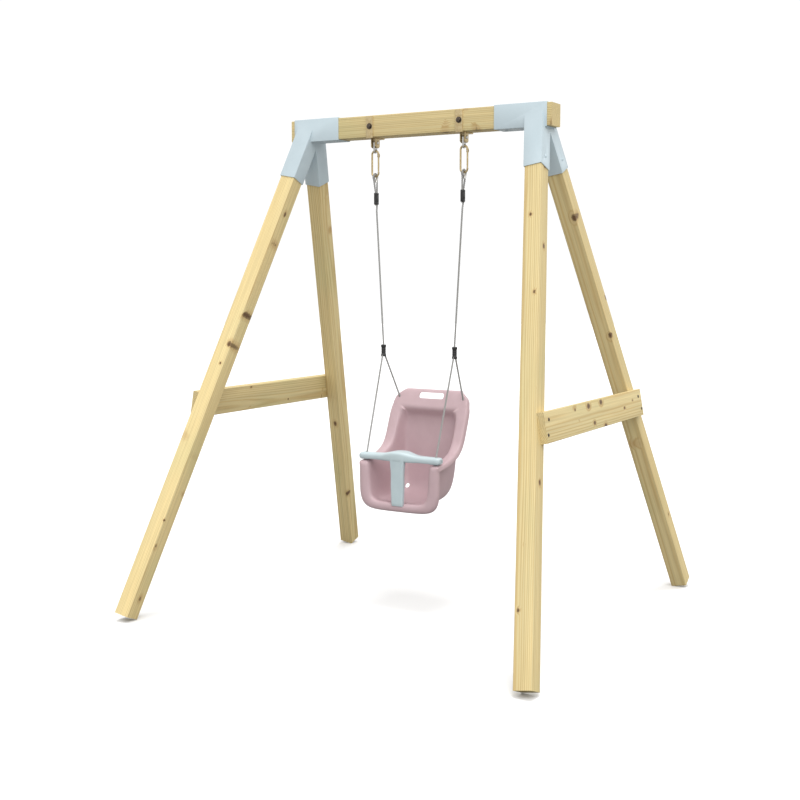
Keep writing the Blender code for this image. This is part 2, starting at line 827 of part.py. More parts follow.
def upper_rope_points(side):
    """From the clamp up through the ferrule, over the thimble and back down into the ferrule."""
    strand = STRAND_SPACING / 2
    points = [
        (side * CLAMP_X, 0.0, CLAMP_TOP - CLAMP_SOCKET),
        (side * CLAMP_X, 0.0, CLAMP_TOP + 0.004),
    ]
    lower = Vector((side * FERRULE_X, strand, FERRULE_BOTTOM))
    start = Vector(points[1])
    points.append(start.lerp(Vector((side * FERRULE_X, 0.0, FERRULE_BOTTOM)), 0.955))
    points.append(lower)
    points.append((side * FERRULE_X, strand, FERRULE_TOP))
    middle = Vector((side * HANGER_X, 0.0, THIMBLE_MIDDLE))
    for y, z in arc((0.0, 0.0), LOOP_RADIUS, -25, 205, 14):
        points.append(middle + Vector((0.0, y, z)))
    points.append((side * FERRULE_X, -strand, FERRULE_TOP))
    points.append((side * FERRULE_X, -strand, FERRULE_BOTTOM - 0.004))
    return points


def front_rope_points(side):
    return [
        mirrored(LINE_TOP, side),
        mirrored(LINE_FRONT, side),
        mirrored(LINE_FRONT, side) - Vector((0.0, 0.0, 0.024)),
    ]


def rear_rope_points(side):
    start = mirrored((CLAMP_X, ROPE_RADIUS + 0.001, CLAMP_BOTTOM + CLAMP_SOCKET), side)
    hole = mirrored(LINE_REAR, side)
    return [start, hole + (hole - start).normalized() * 0.020]


def knot(name, end, direction):
    """The outer shape of the stopper knot at a rope's end."""
    bm = bmesh.new()
    bmesh.ops.create_uvsphere(bm, u_segments=12, v_segments=8, radius=KNOT_RADIUS)
    turn = Vector(direction).to_track_quat("Z", "Y").to_matrix().to_4x4()
    matrix = Matrix.Translation(Vector(end)) @ turn
    return place(name, mesh_of(name, bm), None, matrix, cutters)


def make_thimble(name, x):
    outer = LOOP_RADIUS
    tip = -LOOP_RADIUS * 2.0
    outline = [*arc((0.0, 0.0), outer, -20, 200, 16), (0.0, tip)]
    hole = [*arc((0.0, 0.0), THIMBLE_HOLE, -25, 205, 14), (0.0, -THIMBLE_HOLE * 1.9)]
    frame = across(x, 0.0, THIMBLE_MIDDLE)
    return prism(f"thimble_{name}", outline, THIMBLE_WIDTH / 2, BRIGHT_STEEL, frame, holes=(hole,))


def make_ferrule(name, side):
    width = 2 * (ROPE_RADIUS + FERRULE_WALL)
    depth = width + STRAND_SPACING
    outline = rounded_rectangle(depth, width, width / 2 - 0.0001, 5)
    middle = (side * FERRULE_X, 0.0, (FERRULE_TOP + FERRULE_BOTTOM) / 2)
    upright = axis_frame(middle, (0.0, 1.0, 0.0), (0.0, 0.0, 1.0))
    ferrule = prism(f"ferrule_{name}", outline, FERRULE_LENGTH / 2, BLACK_PLASTIC, upright)
    for strand in (-1, 1):
        y = strand * STRAND_SPACING / 2
        start = (side * FERRULE_X, y, FERRULE_BOTTOM - 0.02)
        end = (side * FERRULE_X, y, FERRULE_TOP + 0.02)
        bore = rod(f"strand_bore_{name}_{strand}", ROPE_RADIUS + GAP * 2, start, end, steps=SMALL_STEPS)
        cut(ferrule, bore)
    return ferrule


def make_clamp(name, side, ropes):
    """The moulded sleeve where one rope from above meets two from below."""
    length = CLAMP_LENGTH
    band = 0.009
    waist = CLAMP_RADIUS * 0.86
    profile = [
        (0.0, length / 2),
        (CLAMP_RADIUS, length / 2),
        (CLAMP_RADIUS, length / 2 - band),
        (waist, length / 2 - band - 0.002),
        (waist, -length / 2 + band + 0.002),
        (CLAMP_RADIUS, -length / 2 + band),
        (CLAMP_RADIUS, -length / 2),
        (0.0, -length / 2),
    ]
    middle = Matrix.Translation((side * CLAMP_X, 0.0, CLAMP_TOP - length / 2))
    clamp = turned(f"rope_clamp_{name}", profile, BLACK_PLASTIC, middle)
    for rope in ropes:
        cut(clamp, rope)
    return clamp


def rope_cutter(name, points, extra):
    """The space that a rope takes with its clearance, a little longer at its first end."""
    first = Vector(points[0])
    start = first + (first - Vector(points[1])).normalized() * GAP * 2
    return curve_tube(name, [start, *points], ROPE_RADIUS + extra, None, 2, cutters)


def make_ropes():
    cutters_of = {}
    for name, side in SIDES:
        upper = upper_rope_points(side)
        front = front_rope_points(side)
        rear = rear_rope_points(side)
        curve_tube(f"upper_rope_{name}", upper, ROPE_RADIUS, ROPE, 2)
        front_rope = curve_tube(f"front_rope_{name}", front, ROPE_RADIUS, ROPE, 2)
        join(front_rope, knot(f"front_knot_{name}", front[-1], (0.0, 0.0, 1.0)))
        rear_rope = curve_tube(f"rear_rope_{name}", rear, ROPE_RADIUS, ROPE, 2)
        join(rear_rope, knot(f"rear_knot_{name}", rear[-1], rear[1] - rear[0]))
        thimble = make_thimble(name, side * HANGER_X)
        cut(thimble, rope_cutter(f"thimble_groove_{name}", upper, GAP))
        make_ferrule(name, side)
        in_clamp = [
            rope_cutter(f"clamp_bore_upper_{name}", upper[:2], GAP),
            rope_cutter(f"clamp_bore_front_{name}", front[:2], GAP),
            rope_cutter(f"clamp_bore_rear_{name}", rear[:2], GAP),
        ]
        make_clamp(name, side, in_clamp)
        cutters_of[side] = {"front": front, "rear": rear}
    return cutters_of


# ---------------------------------------------------------------- bucket seat


def seat_stations():
    """Rows from the front rim to the top of the recess: rim and floor points in the seat's middle plane.

    Each is (rim y, rim z, floor y, floor z, rim half width, floor half width). The y and z are shares of the
    seat's depth and height, and the half widths are shares of its half width inside the flange.
    """
    return (
        (0.000, 0.415, 0.000, 0.080, 1.00, 0.86),
        (0.100, 0.418, 0.090, 0.062, 1.00, 0.86),
        (0.260, 0.432, 0.290, 0.054, 1.00, 0.85),
        (0.410, 0.458, 0.520, 0.056, 0.99, 0.83),
        (0.545, 0.490, 0.700, 0.072, 0.98, 0.81),
        (0.640, 0.545, 0.820, 0.115, 0.97, 0.79),
        (0.700, 0.620, 0.880, 0.200, 0.97, 0.79),
        (0.750, 0.705, 0.905, 0.330, 0.97, 0.80),
        (0.795, 0.775, 0.925, 0.490, 0.96, 0.80),
        (0.828, 0.825, 0.940, 0.630, 0.92, 0.78),
        (0.846, 0.855, 0.940, 0.725, 0.84, 0.74),
        (0.854, 0.868, 0.915, 0.782, 0.80, 0.72),
    )


def seat_point(x, y_share, z_share):
    return Vector((x, SEAT_FRONT + SEAT_DEPTH * y_share, SEAT_BASE + SEAT_HEIGHT * z_share))


def seat_cage():
    """The right half of the shell's outer face as rows of points, from the middle out to the lip."""
    half = SEAT_WIDTH / 2
    inner = half - FLANGE_WIDTH
    lip = FLANGE_LIP
    rows = []

    # front rim: the lip turned back, then the rim's outer edge
    outline = [
        (0.00, 0.000),
        (0.36, 0.000),
        (0.68, 0.004),
        (0.88, 0.030),
        (0.985, 0.100),
        (1.0, 0.200),
        (1.0, 0.300),
        (1.0, 0.365),
        (1.0, 0.395),
        (1.0, 0.412),
    ]
    front = [seat_point(half * x, 0.0, z) for x, z in outline]
    corner_height = front[-1].z - SEAT_BASE
    behind = []
    for point in front:
        drop = lip * ((point.z - SEAT_BASE) / corner_height) ** 3
        behind.append(point + Vector((0.0, lip, -drop)))
    rows.append(behind)
    rows.append(front)

    for index, (rim_y, rim_z, floor_y, floor_z, rim_w, floor_w) in enumerate(seat_stations()):
        sag = RECESS_SAG.get(index, 0.0)
        rim = seat_point(inner * rim_w, rim_y - FLANGE_LEAN * sag, rim_z - sag)
        floor = seat_point(inner * floor_w, floor_y, floor_z)
        row = [
            Vector((0.0, floor.y, floor.z)),
            Vector((floor.x * 0.50, floor.y, floor.z)),
            Vector((floor.x * 0.84, floor.y, floor.z)).lerp(rim, 0.012),
            Vector((floor.x * 1.02, floor.y, floor.z)).lerp(rim, 0.075),
            floor.lerp(rim, 0.28) + Vector((inner * 0.05, 0.0, 0.0)),
            floor.lerp(rim, 0.62) + Vector((inner * 0.03, 0.0, 0.0)),
            floor.lerp(rim, 0.93),
            rim + Vector((0.006, 0.0, 0.0)),
        ]
        turned_in = {9: 0.001, 10: 0.004, 11: 0.006}.get(index, 0.0)
        outer = seat_point(half - turned_in, rim_y, rim_z)
        if index == 0:
            outer.y += 0.012
        row.append(rim.lerp(outer, 0.62))
        row.append(outer)
        rows.append(row)

    # flat band above the recess, the top edge, and the lip behind it
    across_shares = (0, 0.2, 0.36, 0.5, 0.62, 0.72, 0.8, 0.88, 0.95, 1)
    for y_share, z_share, width, sag in FLANGE_ROWS:
        row = []
        for share in across_shares:
            drop = sag * (1 - share**4)
            row.append(seat_point(half * width * share, y_share - FLANGE_LEAN * drop, z_share - drop))
        rows.append(row)
    rows.append([point + Vector((0.0, lip, -0.002)) for point in rows[-1]])

    # the lip along each side, square to the flange
    for index, row in enumerate(rows):
        if index < 2:
            row.append(behind[-1].copy())
            continue
        before = rows[max(index - 1, 1)][9]
        after = rows[min(index + 1, len(rows) - 2)][9]
        along = after - before
        along.x = 0.0
        back = Vector((0.0, along.z, -along.y)).normalized()
        if index == len(rows) - 1:
            row.append(row[-1] + Vector((0.001, 0.0, -0.012)))
        else:
            row.append(row[-1] + back * lip + Vector((0.002, 0.0, 0.0)))
    return rows


def make_seat(ropes):
    rows = seat_cage()
    bm = bmesh.new()
    grid = [[bm.verts.new(point) for point in row] for row in rows]
    for near, far in zip(grid, grid[1:]):
        for i in range(len(near) - 1):
            bm.faces.new((near[i], near[i + 1], far[i + 1], far[i]))
    bmesh.ops.remove_doubles(bm, verts=bm.verts, dist=0.00001)
    bmesh.ops.recalc_face_normals(bm, faces=bm.faces)
    mesh = bpy.data.meshes.new("seat_shell")
    bm.to_mesh(mesh)
    bm.free()
    seat = smooth(place("seat_shell", mesh, PINK_PLASTIC))
    mirror = seat.modifiers.new("halves", "MIRROR")
    mirror.use_clip = True
    mirror.merge_threshold = 0.0001
    surface = seat.modifiers.new("surface", "SUBSURF")
    surface.levels = 1
    surface.render_levels = 1
    shell = seat.modifiers.new("wall", "SOLIDIFY")
    shell.thickness = SHELL_WALL
    shell.offset = 0.0
    shell.use_even_offset = True
    cut_seat(seat, ropes)
    return seat


def cut_seat(seat, ropes):
    # carrying slot through the top of the backrest
    back = SEAT_FRONT + SEAT_DEPTH
    outline = rounded_rectangle(HANDLE_WIDTH, HANDLE_HEIGHT, HANDLE_HEIGHT * 0.42)
    frame = axis_frame((0.0, back, SEAT_TOP - HANDLE_MIDDLE), (1.0, 0.0, 0.0), (0.0, -1.0, 0.0))
    cut(seat, prism("handle_slot", outline, SEAT_DEPTH / 6, None, frame, cutters))
    for name, side in SIDES:
        x = side * DRAIN_X
        z = SEAT_BASE + DRAIN_HEIGHT
        near = (x, back - SEAT_DEPTH * 0.37, z)
        cut(seat, rod(f"drain_{name}", DRAIN_RADIUS, near, (x, back + 0.01, z), collection=cutters))
        for which in ("front", "rear"):
            points = ropes[side][which]
            hole = rope_cutter(f"seat_bore_{which}_{name}", points, ROPE_HOLE_GAP)
            cut(seat, hole)
    # seat for the T-bar's foot in the front rim and the ledge behind it
    foot = STEM_FOOT_WIDTH / 2 + FOOT_GAP
    bottom = SEAT_BASE + STEM_FOOT_HEIGHT - 0.0008
    low = (-foot, SEAT_FRONT - 0.03, bottom)
    cut(seat, box("foot_notch", low, (foot, SEAT_FRONT + 0.035, bottom + 0.05)))
    slot = LEDGE_SLOT_WIDTH / 2
    low = (-slot, SEAT_FRONT + 0.012, SEAT_BASE + 0.01)
    cut(seat, box("ledge_slot", low, (slot, SEAT_FRONT + 0.024, SEAT_BASE + 0.06)))


# ---------------------------------------------------------------- T-bar


def bar_ring(x, depth, low, high, middle_y):
    radius = min(0.012, (high - low) * 0.42, depth * 0.42)
    outline = rounded_rectangle(depth, high - low, radius, 2)
    middle_z = (low + high) / 2
    return [(x, middle_y + py, middle_z + pz) for py, pz in outline]


def stem_middle(front):
    return front - BAR_MIDDLE_FORWARD + STEM_INSET + STEM_THICKNESS / 2


def hollow_bar(bar, front):
    """Cores the moulding from below, between the two rope holes, and down the stem."""
    wall = BAR_WALL
    half = FRONT_ROPE_X - BAR_BOSS
    rings = []
    stations = ((-1.0, 0.0), (-0.48, 0.0), (-0.32, 0.5), (-0.14, 1.0))
    for x, swell in (*stations, *[(-x, swell) for x, swell in reversed(stations)]):
        depth = BAR_DEPTH + (BAR_MIDDLE_DEPTH - BAR_DEPTH) * swell - 2 * wall
        high = BAR_UNDER + BAR_HEIGHT + (BAR_MIDDLE_HEIGHT - BAR_HEIGHT) * swell - wall
        forward = front - BAR_MIDDLE_FORWARD * swell
        rings.append(bar_ring(x * half, depth, BAR_UNDER - 0.03, high, forward + wall + depth / 2))
    core = loft("bar_core", rings, None, None, cutters)
    middle = stem_middle(front)
    guard = box(
        "bar_core_limit",
        (-half - 0.01, front - 0.05, BAR_UNDER - 0.0001),
        (half + 0.01, front + 0.15, BAR_UNDER + 0.1),
        None,
        None,
        cutters,
    )
    limit = core.modifiers.new("limit", "BOOLEAN")
    limit.operation = "INTERSECT"
    limit.object = guard
    guard.hide_render = True
    guard.display_type = "WIRE"
    cut(bar, core)
    inner_width = STEM_FOOT_WIDTH * 0.9 - 2 * wall
    foot = SEAT_BASE + STEM_FOOT_HEIGHT
    cut(
        bar,
        box(
            "stem_core",
            (-inner_width / 2, middle - STEM_THICKNESS / 2 + wall, foot + 0.012),
            (inner_width / 2, middle + STEM_THICKNESS / 2 - wall, BAR_UNDER + 0.01),
        ),
    )


def make_t_bar(ropes):
    half = BAR_LENGTH / 2
    low = BAR_UNDER
    high = BAR_UNDER + BAR_HEIGHT
    middle = FRONT_ROPE_Y + 0.004
    front = middle - BAR_DEPTH / 2
    rings = []
    stations = (
        (-1.0, 0.62, 0.0),
        (-0.975, 0.86, 0.0),
        (-0.93, 1.0, 0.0),
        (-0.60, 1.0, 0.0),
        (-0.40, 1.0, 0.10),
        (-0.24, 1.0, 0.62),
        (-0.10, 1.0, 1.0),
    )
    mirrored_stations = [*stations, *[(-x, size, swell) for x, size, swell in reversed(stations)]]
    for x, size, swell in mirrored_stations:
        depth = (BAR_DEPTH + (BAR_MIDDLE_DEPTH - BAR_DEPTH) * swell) * size
        rise = (BAR_MIDDLE_HEIGHT - BAR_HEIGHT) * swell
        shrink = BAR_HEIGHT * (1 - size) / 2
        centre = middle if swell == 0 else front - BAR_MIDDLE_FORWARD * swell + depth / 2
        rings.append(bar_ring(x * half, depth, low + shrink, high + rise - shrink, centre))
    bar = smooth(loft("t_bar", rings, BLUE_PLASTIC))

    top = BAR_UNDER + BAR_HEIGHT * 0.7
    foot = SEAT_BASE + STEM_FOOT_HEIGHT
    stem_rings = []
    for z, width, thickness in (
        (top, STEM_TOP_WIDTH, STEM_THICKNESS * 1.3),
        (BAR_UNDER - 0.02, STEM_TOP_WIDTH, STEM_THICKNESS * 1.15),
        (foot + 0.08, STEM_FOOT_WIDTH + 0.008, STEM_THICKNESS),
        (foot + 0.018, STEM_FOOT_WIDTH, STEM_THICKNESS),
        (foot + 0.006, STEM_FOOT_WIDTH * 0.975, STEM_THICKNESS),
        (foot, STEM_FOOT_WIDTH * 0.96, STEM_THICKNESS * 0.8),
    ):
        outline = rounded_rectangle(width, thickness, 0.0065, 2)
        stem_rings.append([(px, stem_middle(front) + py, z) for px, py in outline])
    stem = loft("t_bar_stem", stem_rings, None, None, cutters)
    join(bar, stem)
    hollow_bar(bar, front)
    for name, side in SIDES:
        points = ropes[side]["front"][:2]
        direction = (points[0] - points[1]).normalized()
        hole = rod(
            f"bar_bore_{name}",
            ROPE_RADIUS + BAR_HOLE_GAP,
            points[1] - direction * 0.03,
            points[1] + direction * 0.08,
            steps=16,
            collection=cutters,
        )
        cut(bar, hole)
    return bar


# ---------------------------------------------------------------- assembly


def build():
    beam = make_beam()
    legs = make_legs()
    rails = make_rails()
    brackets = make_brackets()
    make_screws(legs, rails, brackets, beam)
    for name, side in SIDES:
        make_hanger(name, side)
        make_carabiner(name, side * HANGER_X)
    ropes = make_ropes()
    make_seat(ropes)
    make_t_bar(ropes)


build()
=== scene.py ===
"""Finished looks for a timber swing frame with a toddler bucket seat.

Metres, +Z up, origin on the floor under the middle of the beam. The seat faces -Y.
Left and right are -X and +X.
"""

import json
import math

import bmesh
import bpy
from mathutils import Matrix, Vector

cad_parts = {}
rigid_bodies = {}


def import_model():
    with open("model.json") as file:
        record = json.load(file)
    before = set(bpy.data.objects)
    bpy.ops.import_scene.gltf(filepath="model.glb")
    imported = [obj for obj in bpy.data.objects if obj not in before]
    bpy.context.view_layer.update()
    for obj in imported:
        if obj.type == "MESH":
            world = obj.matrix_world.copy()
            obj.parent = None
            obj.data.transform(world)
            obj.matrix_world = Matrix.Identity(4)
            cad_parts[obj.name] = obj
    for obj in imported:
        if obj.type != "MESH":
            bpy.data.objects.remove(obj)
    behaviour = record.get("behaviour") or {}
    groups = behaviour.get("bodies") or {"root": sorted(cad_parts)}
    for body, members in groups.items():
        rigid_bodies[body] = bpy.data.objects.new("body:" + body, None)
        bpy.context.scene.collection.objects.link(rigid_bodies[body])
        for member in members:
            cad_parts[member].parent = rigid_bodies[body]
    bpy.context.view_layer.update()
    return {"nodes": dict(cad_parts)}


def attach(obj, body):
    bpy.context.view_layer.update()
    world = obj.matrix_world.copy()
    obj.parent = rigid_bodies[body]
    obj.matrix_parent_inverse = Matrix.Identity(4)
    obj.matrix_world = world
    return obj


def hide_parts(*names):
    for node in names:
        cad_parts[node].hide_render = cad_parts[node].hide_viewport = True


for startup_object in list(bpy.data.objects):
    bpy.data.objects.remove(startup_object, do_unlink=True)
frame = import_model()
NODES = frame["nodes"]

# Timber frame
BEAM_TOP = 2.100
BEAM_LENGTH = 1.242
BEAM_SECTION = 0.090
LEG_SECTION = 0.070
LEG_OFFSET = 0.547
LEG_DEPTH_OFFSET = 0.011
FRAME_LEAN = math.radians(10.0)
LEG_SPREAD = math.radians(22.3)
LEG_START = 0.080
RAIL_HEIGHT = 0.115
RAIL_THICKNESS = 0.028
RAIL_LENGTH = 1.0399
RAIL_MIDDLE = 0.875
RAIL_GAP = 0.0003
TIMBER_EDGE = 0.003
BRACKET_GAP = 0.0005
BRACKET_STEEL = 0.003
BRACKET_FACE = LEG_SECTION / 2 + BRACKET_GAP + BRACKET_STEEL
BRACKET_LEG_LENGTH = 0.237
BRACKET_INNER_END = 0.373
RAIL_SCREW_SPACING = 0.055
RAIL_SCREW_INSET = 0.012
BEAM_AXIS = BEAM_TOP - BEAM_SECTION / 2
BEAM_UNDER = BEAM_TOP - BEAM_SECTION

# Hangers and carabiners
HANGER_X = 0.2145
STRAP_OUTER = 0.0493  # from the beam's middle plane to the strap's outer face
STRAP_PLAY = 0.0003
BOLT_HEAD_RADIUS = 0.0095
PIVOT_DROP = 0.021
PIVOT_HEIGHT = BEAM_UNDER - PIVOT_DROP
PIN_RADIUS = 0.004
CLEVIS_HALF = 0.012
CARABINER_WIRE = 0.0042
CARABINER_WIDTH = 0.032
LINK_LENGTH = 0.033
LINK_EYE_RADIUS = 0.006
LINK_SEAT = 0.0009  # from the link's eye to the carabiner's upper bend
CARABINER_TOP = PIVOT_HEIGHT - LINK_LENGTH - LINK_EYE_RADIUS + CARABINER_WIRE + LINK_SEAT
CARABINER_BOTTOM = CARABINER_TOP - 0.109
GATE_PIVOT = CARABINER_TOP - CARABINER_WIDTH / 2 - 0.006
GATE_TIP = GATE_PIVOT - 0.066
GATE_RADIUS = CARABINER_WIRE * 0.9

# Ropes
CLAMP_X = 0.1745
CLAMP_TOP = 1.123
CLAMP_LENGTH = 0.051
CLAMP_RADIUS = 0.0115
CLAMP_SOCKET = 0.014
ROPE_RADIUS = 0.0042
THIMBLE_HOLE = 0.009
THIMBLE_WALL = 0.002
THIMBLE_WIDTH = 0.0115
THIMBLE_SEAT = 0.0016  # from the carabiner's lower bend to the thimble's hole
THIMBLE_MIDDLE = CARABINER_BOTTOM + CARABINER_WIRE + THIMBLE_SEAT - THIMBLE_HOLE
LOOP_RADIUS = THIMBLE_HOLE + THIMBLE_WALL + ROPE_RADIUS + 0.0003
STRAND_SPACING = 0.0115
FERRULE_TOP = 1.776
FERRULE_LENGTH = 0.049
FERRULE_BOTTOM = FERRULE_TOP - FERRULE_LENGTH
FERRULE_X = HANGER_X - (HANGER_X - CLAMP_X) * 0.12
ROPE_LAY = 0.026  # length of one full turn of a strand
KNOT_LAY = 0.020
KNOT_ROPE_RADIUS = ROPE_RADIUS * 0.92

# Bucket seat
SEAT_BASE = 0.430
SEAT_HEIGHT = 0.495
SEAT_TOP = SEAT_BASE + SEAT_HEIGHT
SEAT_FRONT = -0.180
SEAT_DEPTH = 0.325
SEAT_WIDTH = 0.380
FLANGE_WIDTH = 0.043
FLANGE_LIP = 0.020
SHELL_WALL = 0.0042
FLANGE_LEAN = 0.58  # share of the depth the flange leans back, for each share of the height it rises
RECESS_SAG = {9: 0.010, 10: 0.035, 11: 0.050}  # station -> how far the recess's edge dips, share of height
RIM_TURNED_IN = {9: 0.001, 10: 0.004, 11: 0.006}  # station -> how far the rim is turned in
# rows of the flat band above the recess: depth share, height share, width share, dip in the middle
FLANGE_ROWS = (
    (0.8635, 0.882, 0.960, 0.052),
    (0.8775, 0.900, 0.950, 0.030),
    (0.913, 0.940, 0.926, 0.0),
    (0.964, 0.994, 0.721, 0.0),
)
HANDLE_WIDTH = 0.122
HANDLE_HEIGHT = 0.025
HANDLE_MIDDLE = 0.0275
DRAIN_RADIUS = 0.009
DRAIN_X = 0.100
DRAIN_HEIGHT = 0.066
LEDGE_SLOT_WIDTH = 0.116

# Safety bar
BAR_UNDER = 0.6415
BAR_LENGTH = 0.391
BAR_HEIGHT = 0.030
BAR_DEPTH = 0.046
BAR_MIDDLE_HEIGHT = 0.045
BAR_MIDDLE_DEPTH = 0.076
BAR_MIDDLE_FORWARD = 0.014
BAR_HOLE_GAP = 0.003
BAR_WALL = 0.0028
BAR_BOSS = 0.018
STEM_TOP_WIDTH = 0.067
STEM_FOOT_WIDTH = 0.056
STEM_THICKNESS = 0.020
STEM_INSET = 0.004
FOOT_GAP = 0.0006
STEM_FOOT = SEAT_BASE + 0.026
FRONT_ROPE_X = 0.168
FRONT_ROPE_Y = SEAT_FRONT + 0.022

# Where the two lower ropes on the right side leave the clamp and reach the seat
ROPE_SPREAD = ROPE_RADIUS + 0.001
SOCKET_END = CLAMP_TOP - CLAMP_LENGTH + CLAMP_SOCKET
FRONT_LINE_TOP = Vector((CLAMP_X, -ROPE_SPREAD, SOCKET_END))
FRONT_LINE_FOOT = Vector((FRONT_ROPE_X, FRONT_ROPE_Y, BAR_UNDER))
REAR_LINE_TOP = Vector((CLAMP_X, ROPE_SPREAD, SOCKET_END))
REAR_LINE_FOOT = Vector((0.158, SEAT_FRONT + SEAT_DEPTH * 0.902, SEAT_TOP - 0.037))

SIDES = (("left", -1), ("right", 1))
DEPTHS = (("front", -1), ("rear", 1))
SMOOTH_ANGLE = 40.0

# Studio
FLOOR_WHITE = 0.90
FLOOR_BOUNCE = 0.24
SKY_LIGHT = 0.93
SKY_SEEN = 1.05
LAMPS = (
    # name, strength, width in degrees, tilt from straight down, turn
    ("overhead", 0.95, 16.0, 3.0, 60.0),
    ("key", 1.30, 50.0, 46.0, 46.0),
)


# ---------------------------------------------------------------- camera, floor and light


def make_camera():
    camera = bpy.data.objects.new("camera", bpy.data.cameras.new("camera"))
    camera.data.lens = 54.39
    camera.data.sensor_width = 36.0
    camera.location = (2.5408, -4.5104, 1.4286)
    camera.rotation_euler = (math.radians(90.0 - 5.95), 0.0, math.radians(30.27))
    bpy.context.scene.collection.objects.link(camera)
    bpy.context.scene.camera = camera


def make_floor():
    bm = bmesh.new()
    bmesh.ops.create_circle(bm, cap_ends=True, segments=96, radius=30.0)
    mesh = bpy.data.meshes.new("floor")
    bm.to_mesh(mesh)
    bm.free()
    floor = bpy.data.objects.new("floor", mesh)
    floor.location.z = -0.0005
    bpy.context.scene.collection.objects.link(floor)
    paper = bpy.data.materials.new("floor_paper")
    paper.use_nodes = True
    tree = paper.node_tree
    shader = tree.nodes["Principled BSDF"]
    shader.inputs["Roughness"].default_value = 0.95
    shader.inputs["Specular IOR Level"].default_value = 0.0
    # the floor looks white, but throws less light back up than white paper would
    seen = tree.nodes.new("ShaderNodeLightPath").outputs["Is Camera Ray"]
    grey = tree.nodes.new("ShaderNodeMapRange")
    tree.links.new(seen, grey.inputs["Value"])
    grey.inputs["To Min"].default_value = FLOOR_BOUNCE
    grey.inputs["To Max"].default_value = FLOOR_WHITE
    tree.links.new(grey.outputs["Result"], shader.inputs["Base Color"])
    mesh.materials.append(paper)


def make_lights():
    world = bpy.data.worlds.new("studio")
    bpy.context.scene.world = world
    world.use_nodes = True
    tree = world.node_tree
    backdrop = tree.nodes["Background"]
    seen = tree.nodes.new("ShaderNodeLightPath").outputs["Is Camera Ray"]
    strength = tree.nodes.new("ShaderNodeMapRange")
    tree.links.new(seen, strength.inputs["Value"])
    strength.inputs["To Min"].default_value = SKY_LIGHT
    strength.inputs["To Max"].default_value = SKY_SEEN
    tree.links.new(strength.outputs["Result"], backdrop.inputs["Strength"])
    backdrop.inputs["Color"].default_value = (1.0, 1.0, 1.0, 1.0)
    for name, energy, width, tilt, turn in LAMPS:
        lamp = bpy.data.objects.new(name, bpy.data.lights.new(name, "SUN"))
        lamp.data.energy = energy
        lamp.data.angle = math.radians(width)
        lamp.rotation_euler = (math.radians(tilt), 0.0, math.radians(turn))
        bpy.context.scene.collection.objects.link(lamp)
    bpy.context.scene.view_settings.view_transform = "Standard"


make_camera()
make_floor()
make_lights()


# ---------------------------------------------------------------- node helpers


def add(tree, kind, inputs=None, **settings):
    """Adds a node, sets its properties, and fills its inputs from values or from other nodes' sockets."""
    made = tree.nodes.new(kind)
    for name, value in settings.items():
        setattr(made, name, value)
    for key, value in (inputs or {}).items():
        if isinstance(value, bpy.types.NodeSocket):
            tree.links.new(value, made.inputs[key])
        else:
            made.inputs[key].default_value = value
    return made


def put(tree, kind, inputs=None, **settings):
    """Adds a node and gives its first output."""
    return add(tree, kind, inputs, **settings).outputs[0]


def reckon(tree, operation, *terms, clamp=False):
    """A Math node over numbers or sockets."""
    made = add(tree, "ShaderNodeMath", dict(enumerate(terms)), operation=operation)
    made.use_clamp = clamp
    return made.outputs[0]


def reckon_vector(tree, operation, *terms):
    made = add(tree, "ShaderNodeVectorMath", dict(enumerate(terms)), operation=operation)
    return made.outputs["Value" if operation == "LENGTH" else "Vector"]


def span(tree, value, low, high, to_low=0.0, to_high=1.0):
    """Maps low..high onto to_low..to_high with soft ends."""
    made = add(
        tree,
        "ShaderNodeMapRange",
        {"Value": value, "From Min": low, "From Max": high, "To Min": to_low, "To Max": to_high},
        interpolation_type="SMOOTHSTEP",
    )
    return made.outputs["Result"]


def blend(tree, factor, first, second, how="MIX"):
    made = add(tree, "ShaderNodeMix", {0: factor, 6: first, 7: second}, data_type="RGBA", blend_type=how)
    return made.outputs[2]


def noise(tree, place, scale, detail=2.0, roughness=0.5):
    """Noise over coordinates that are first multiplied by scale, given for each axis."""
    stretched = reckon_vector(tree, "MULTIPLY", place, scale)
    made = add(
        tree,
        "ShaderNodeTexNoise",
        {"Vector": stretched, "Scale": 1.0, "Detail": detail, "Roughness": roughness},
    )
    return made.outputs["Fac"]


def new_tree(name, tree_kind, inputs, outputs):
    """An empty node group with its sockets, and its input and output nodes."""
    tree = bpy.data.node_groups.new(name, tree_kind)
    for socket, kind, value in inputs:
        made = tree.interface.new_socket(socket, in_out="INPUT", socket_type="NodeSocket" + kind)
        if value is not None:
            made.default_value = value
    for socket, kind in outputs:
        tree.interface.new_socket(socket, in_out="OUTPUT", socket_type="NodeSocket" + kind)
    return tree, tree.nodes.new("NodeGroupInput"), tree.nodes.new("NodeGroupOutput")


def add_relief(tree, shader, height, strength, depth):
    bump = put(tree, "ShaderNodeBump", {"Height": height, "Strength": strength, "Distance": depth})
    tree.links.new(bump, shader.inputs["Normal"])


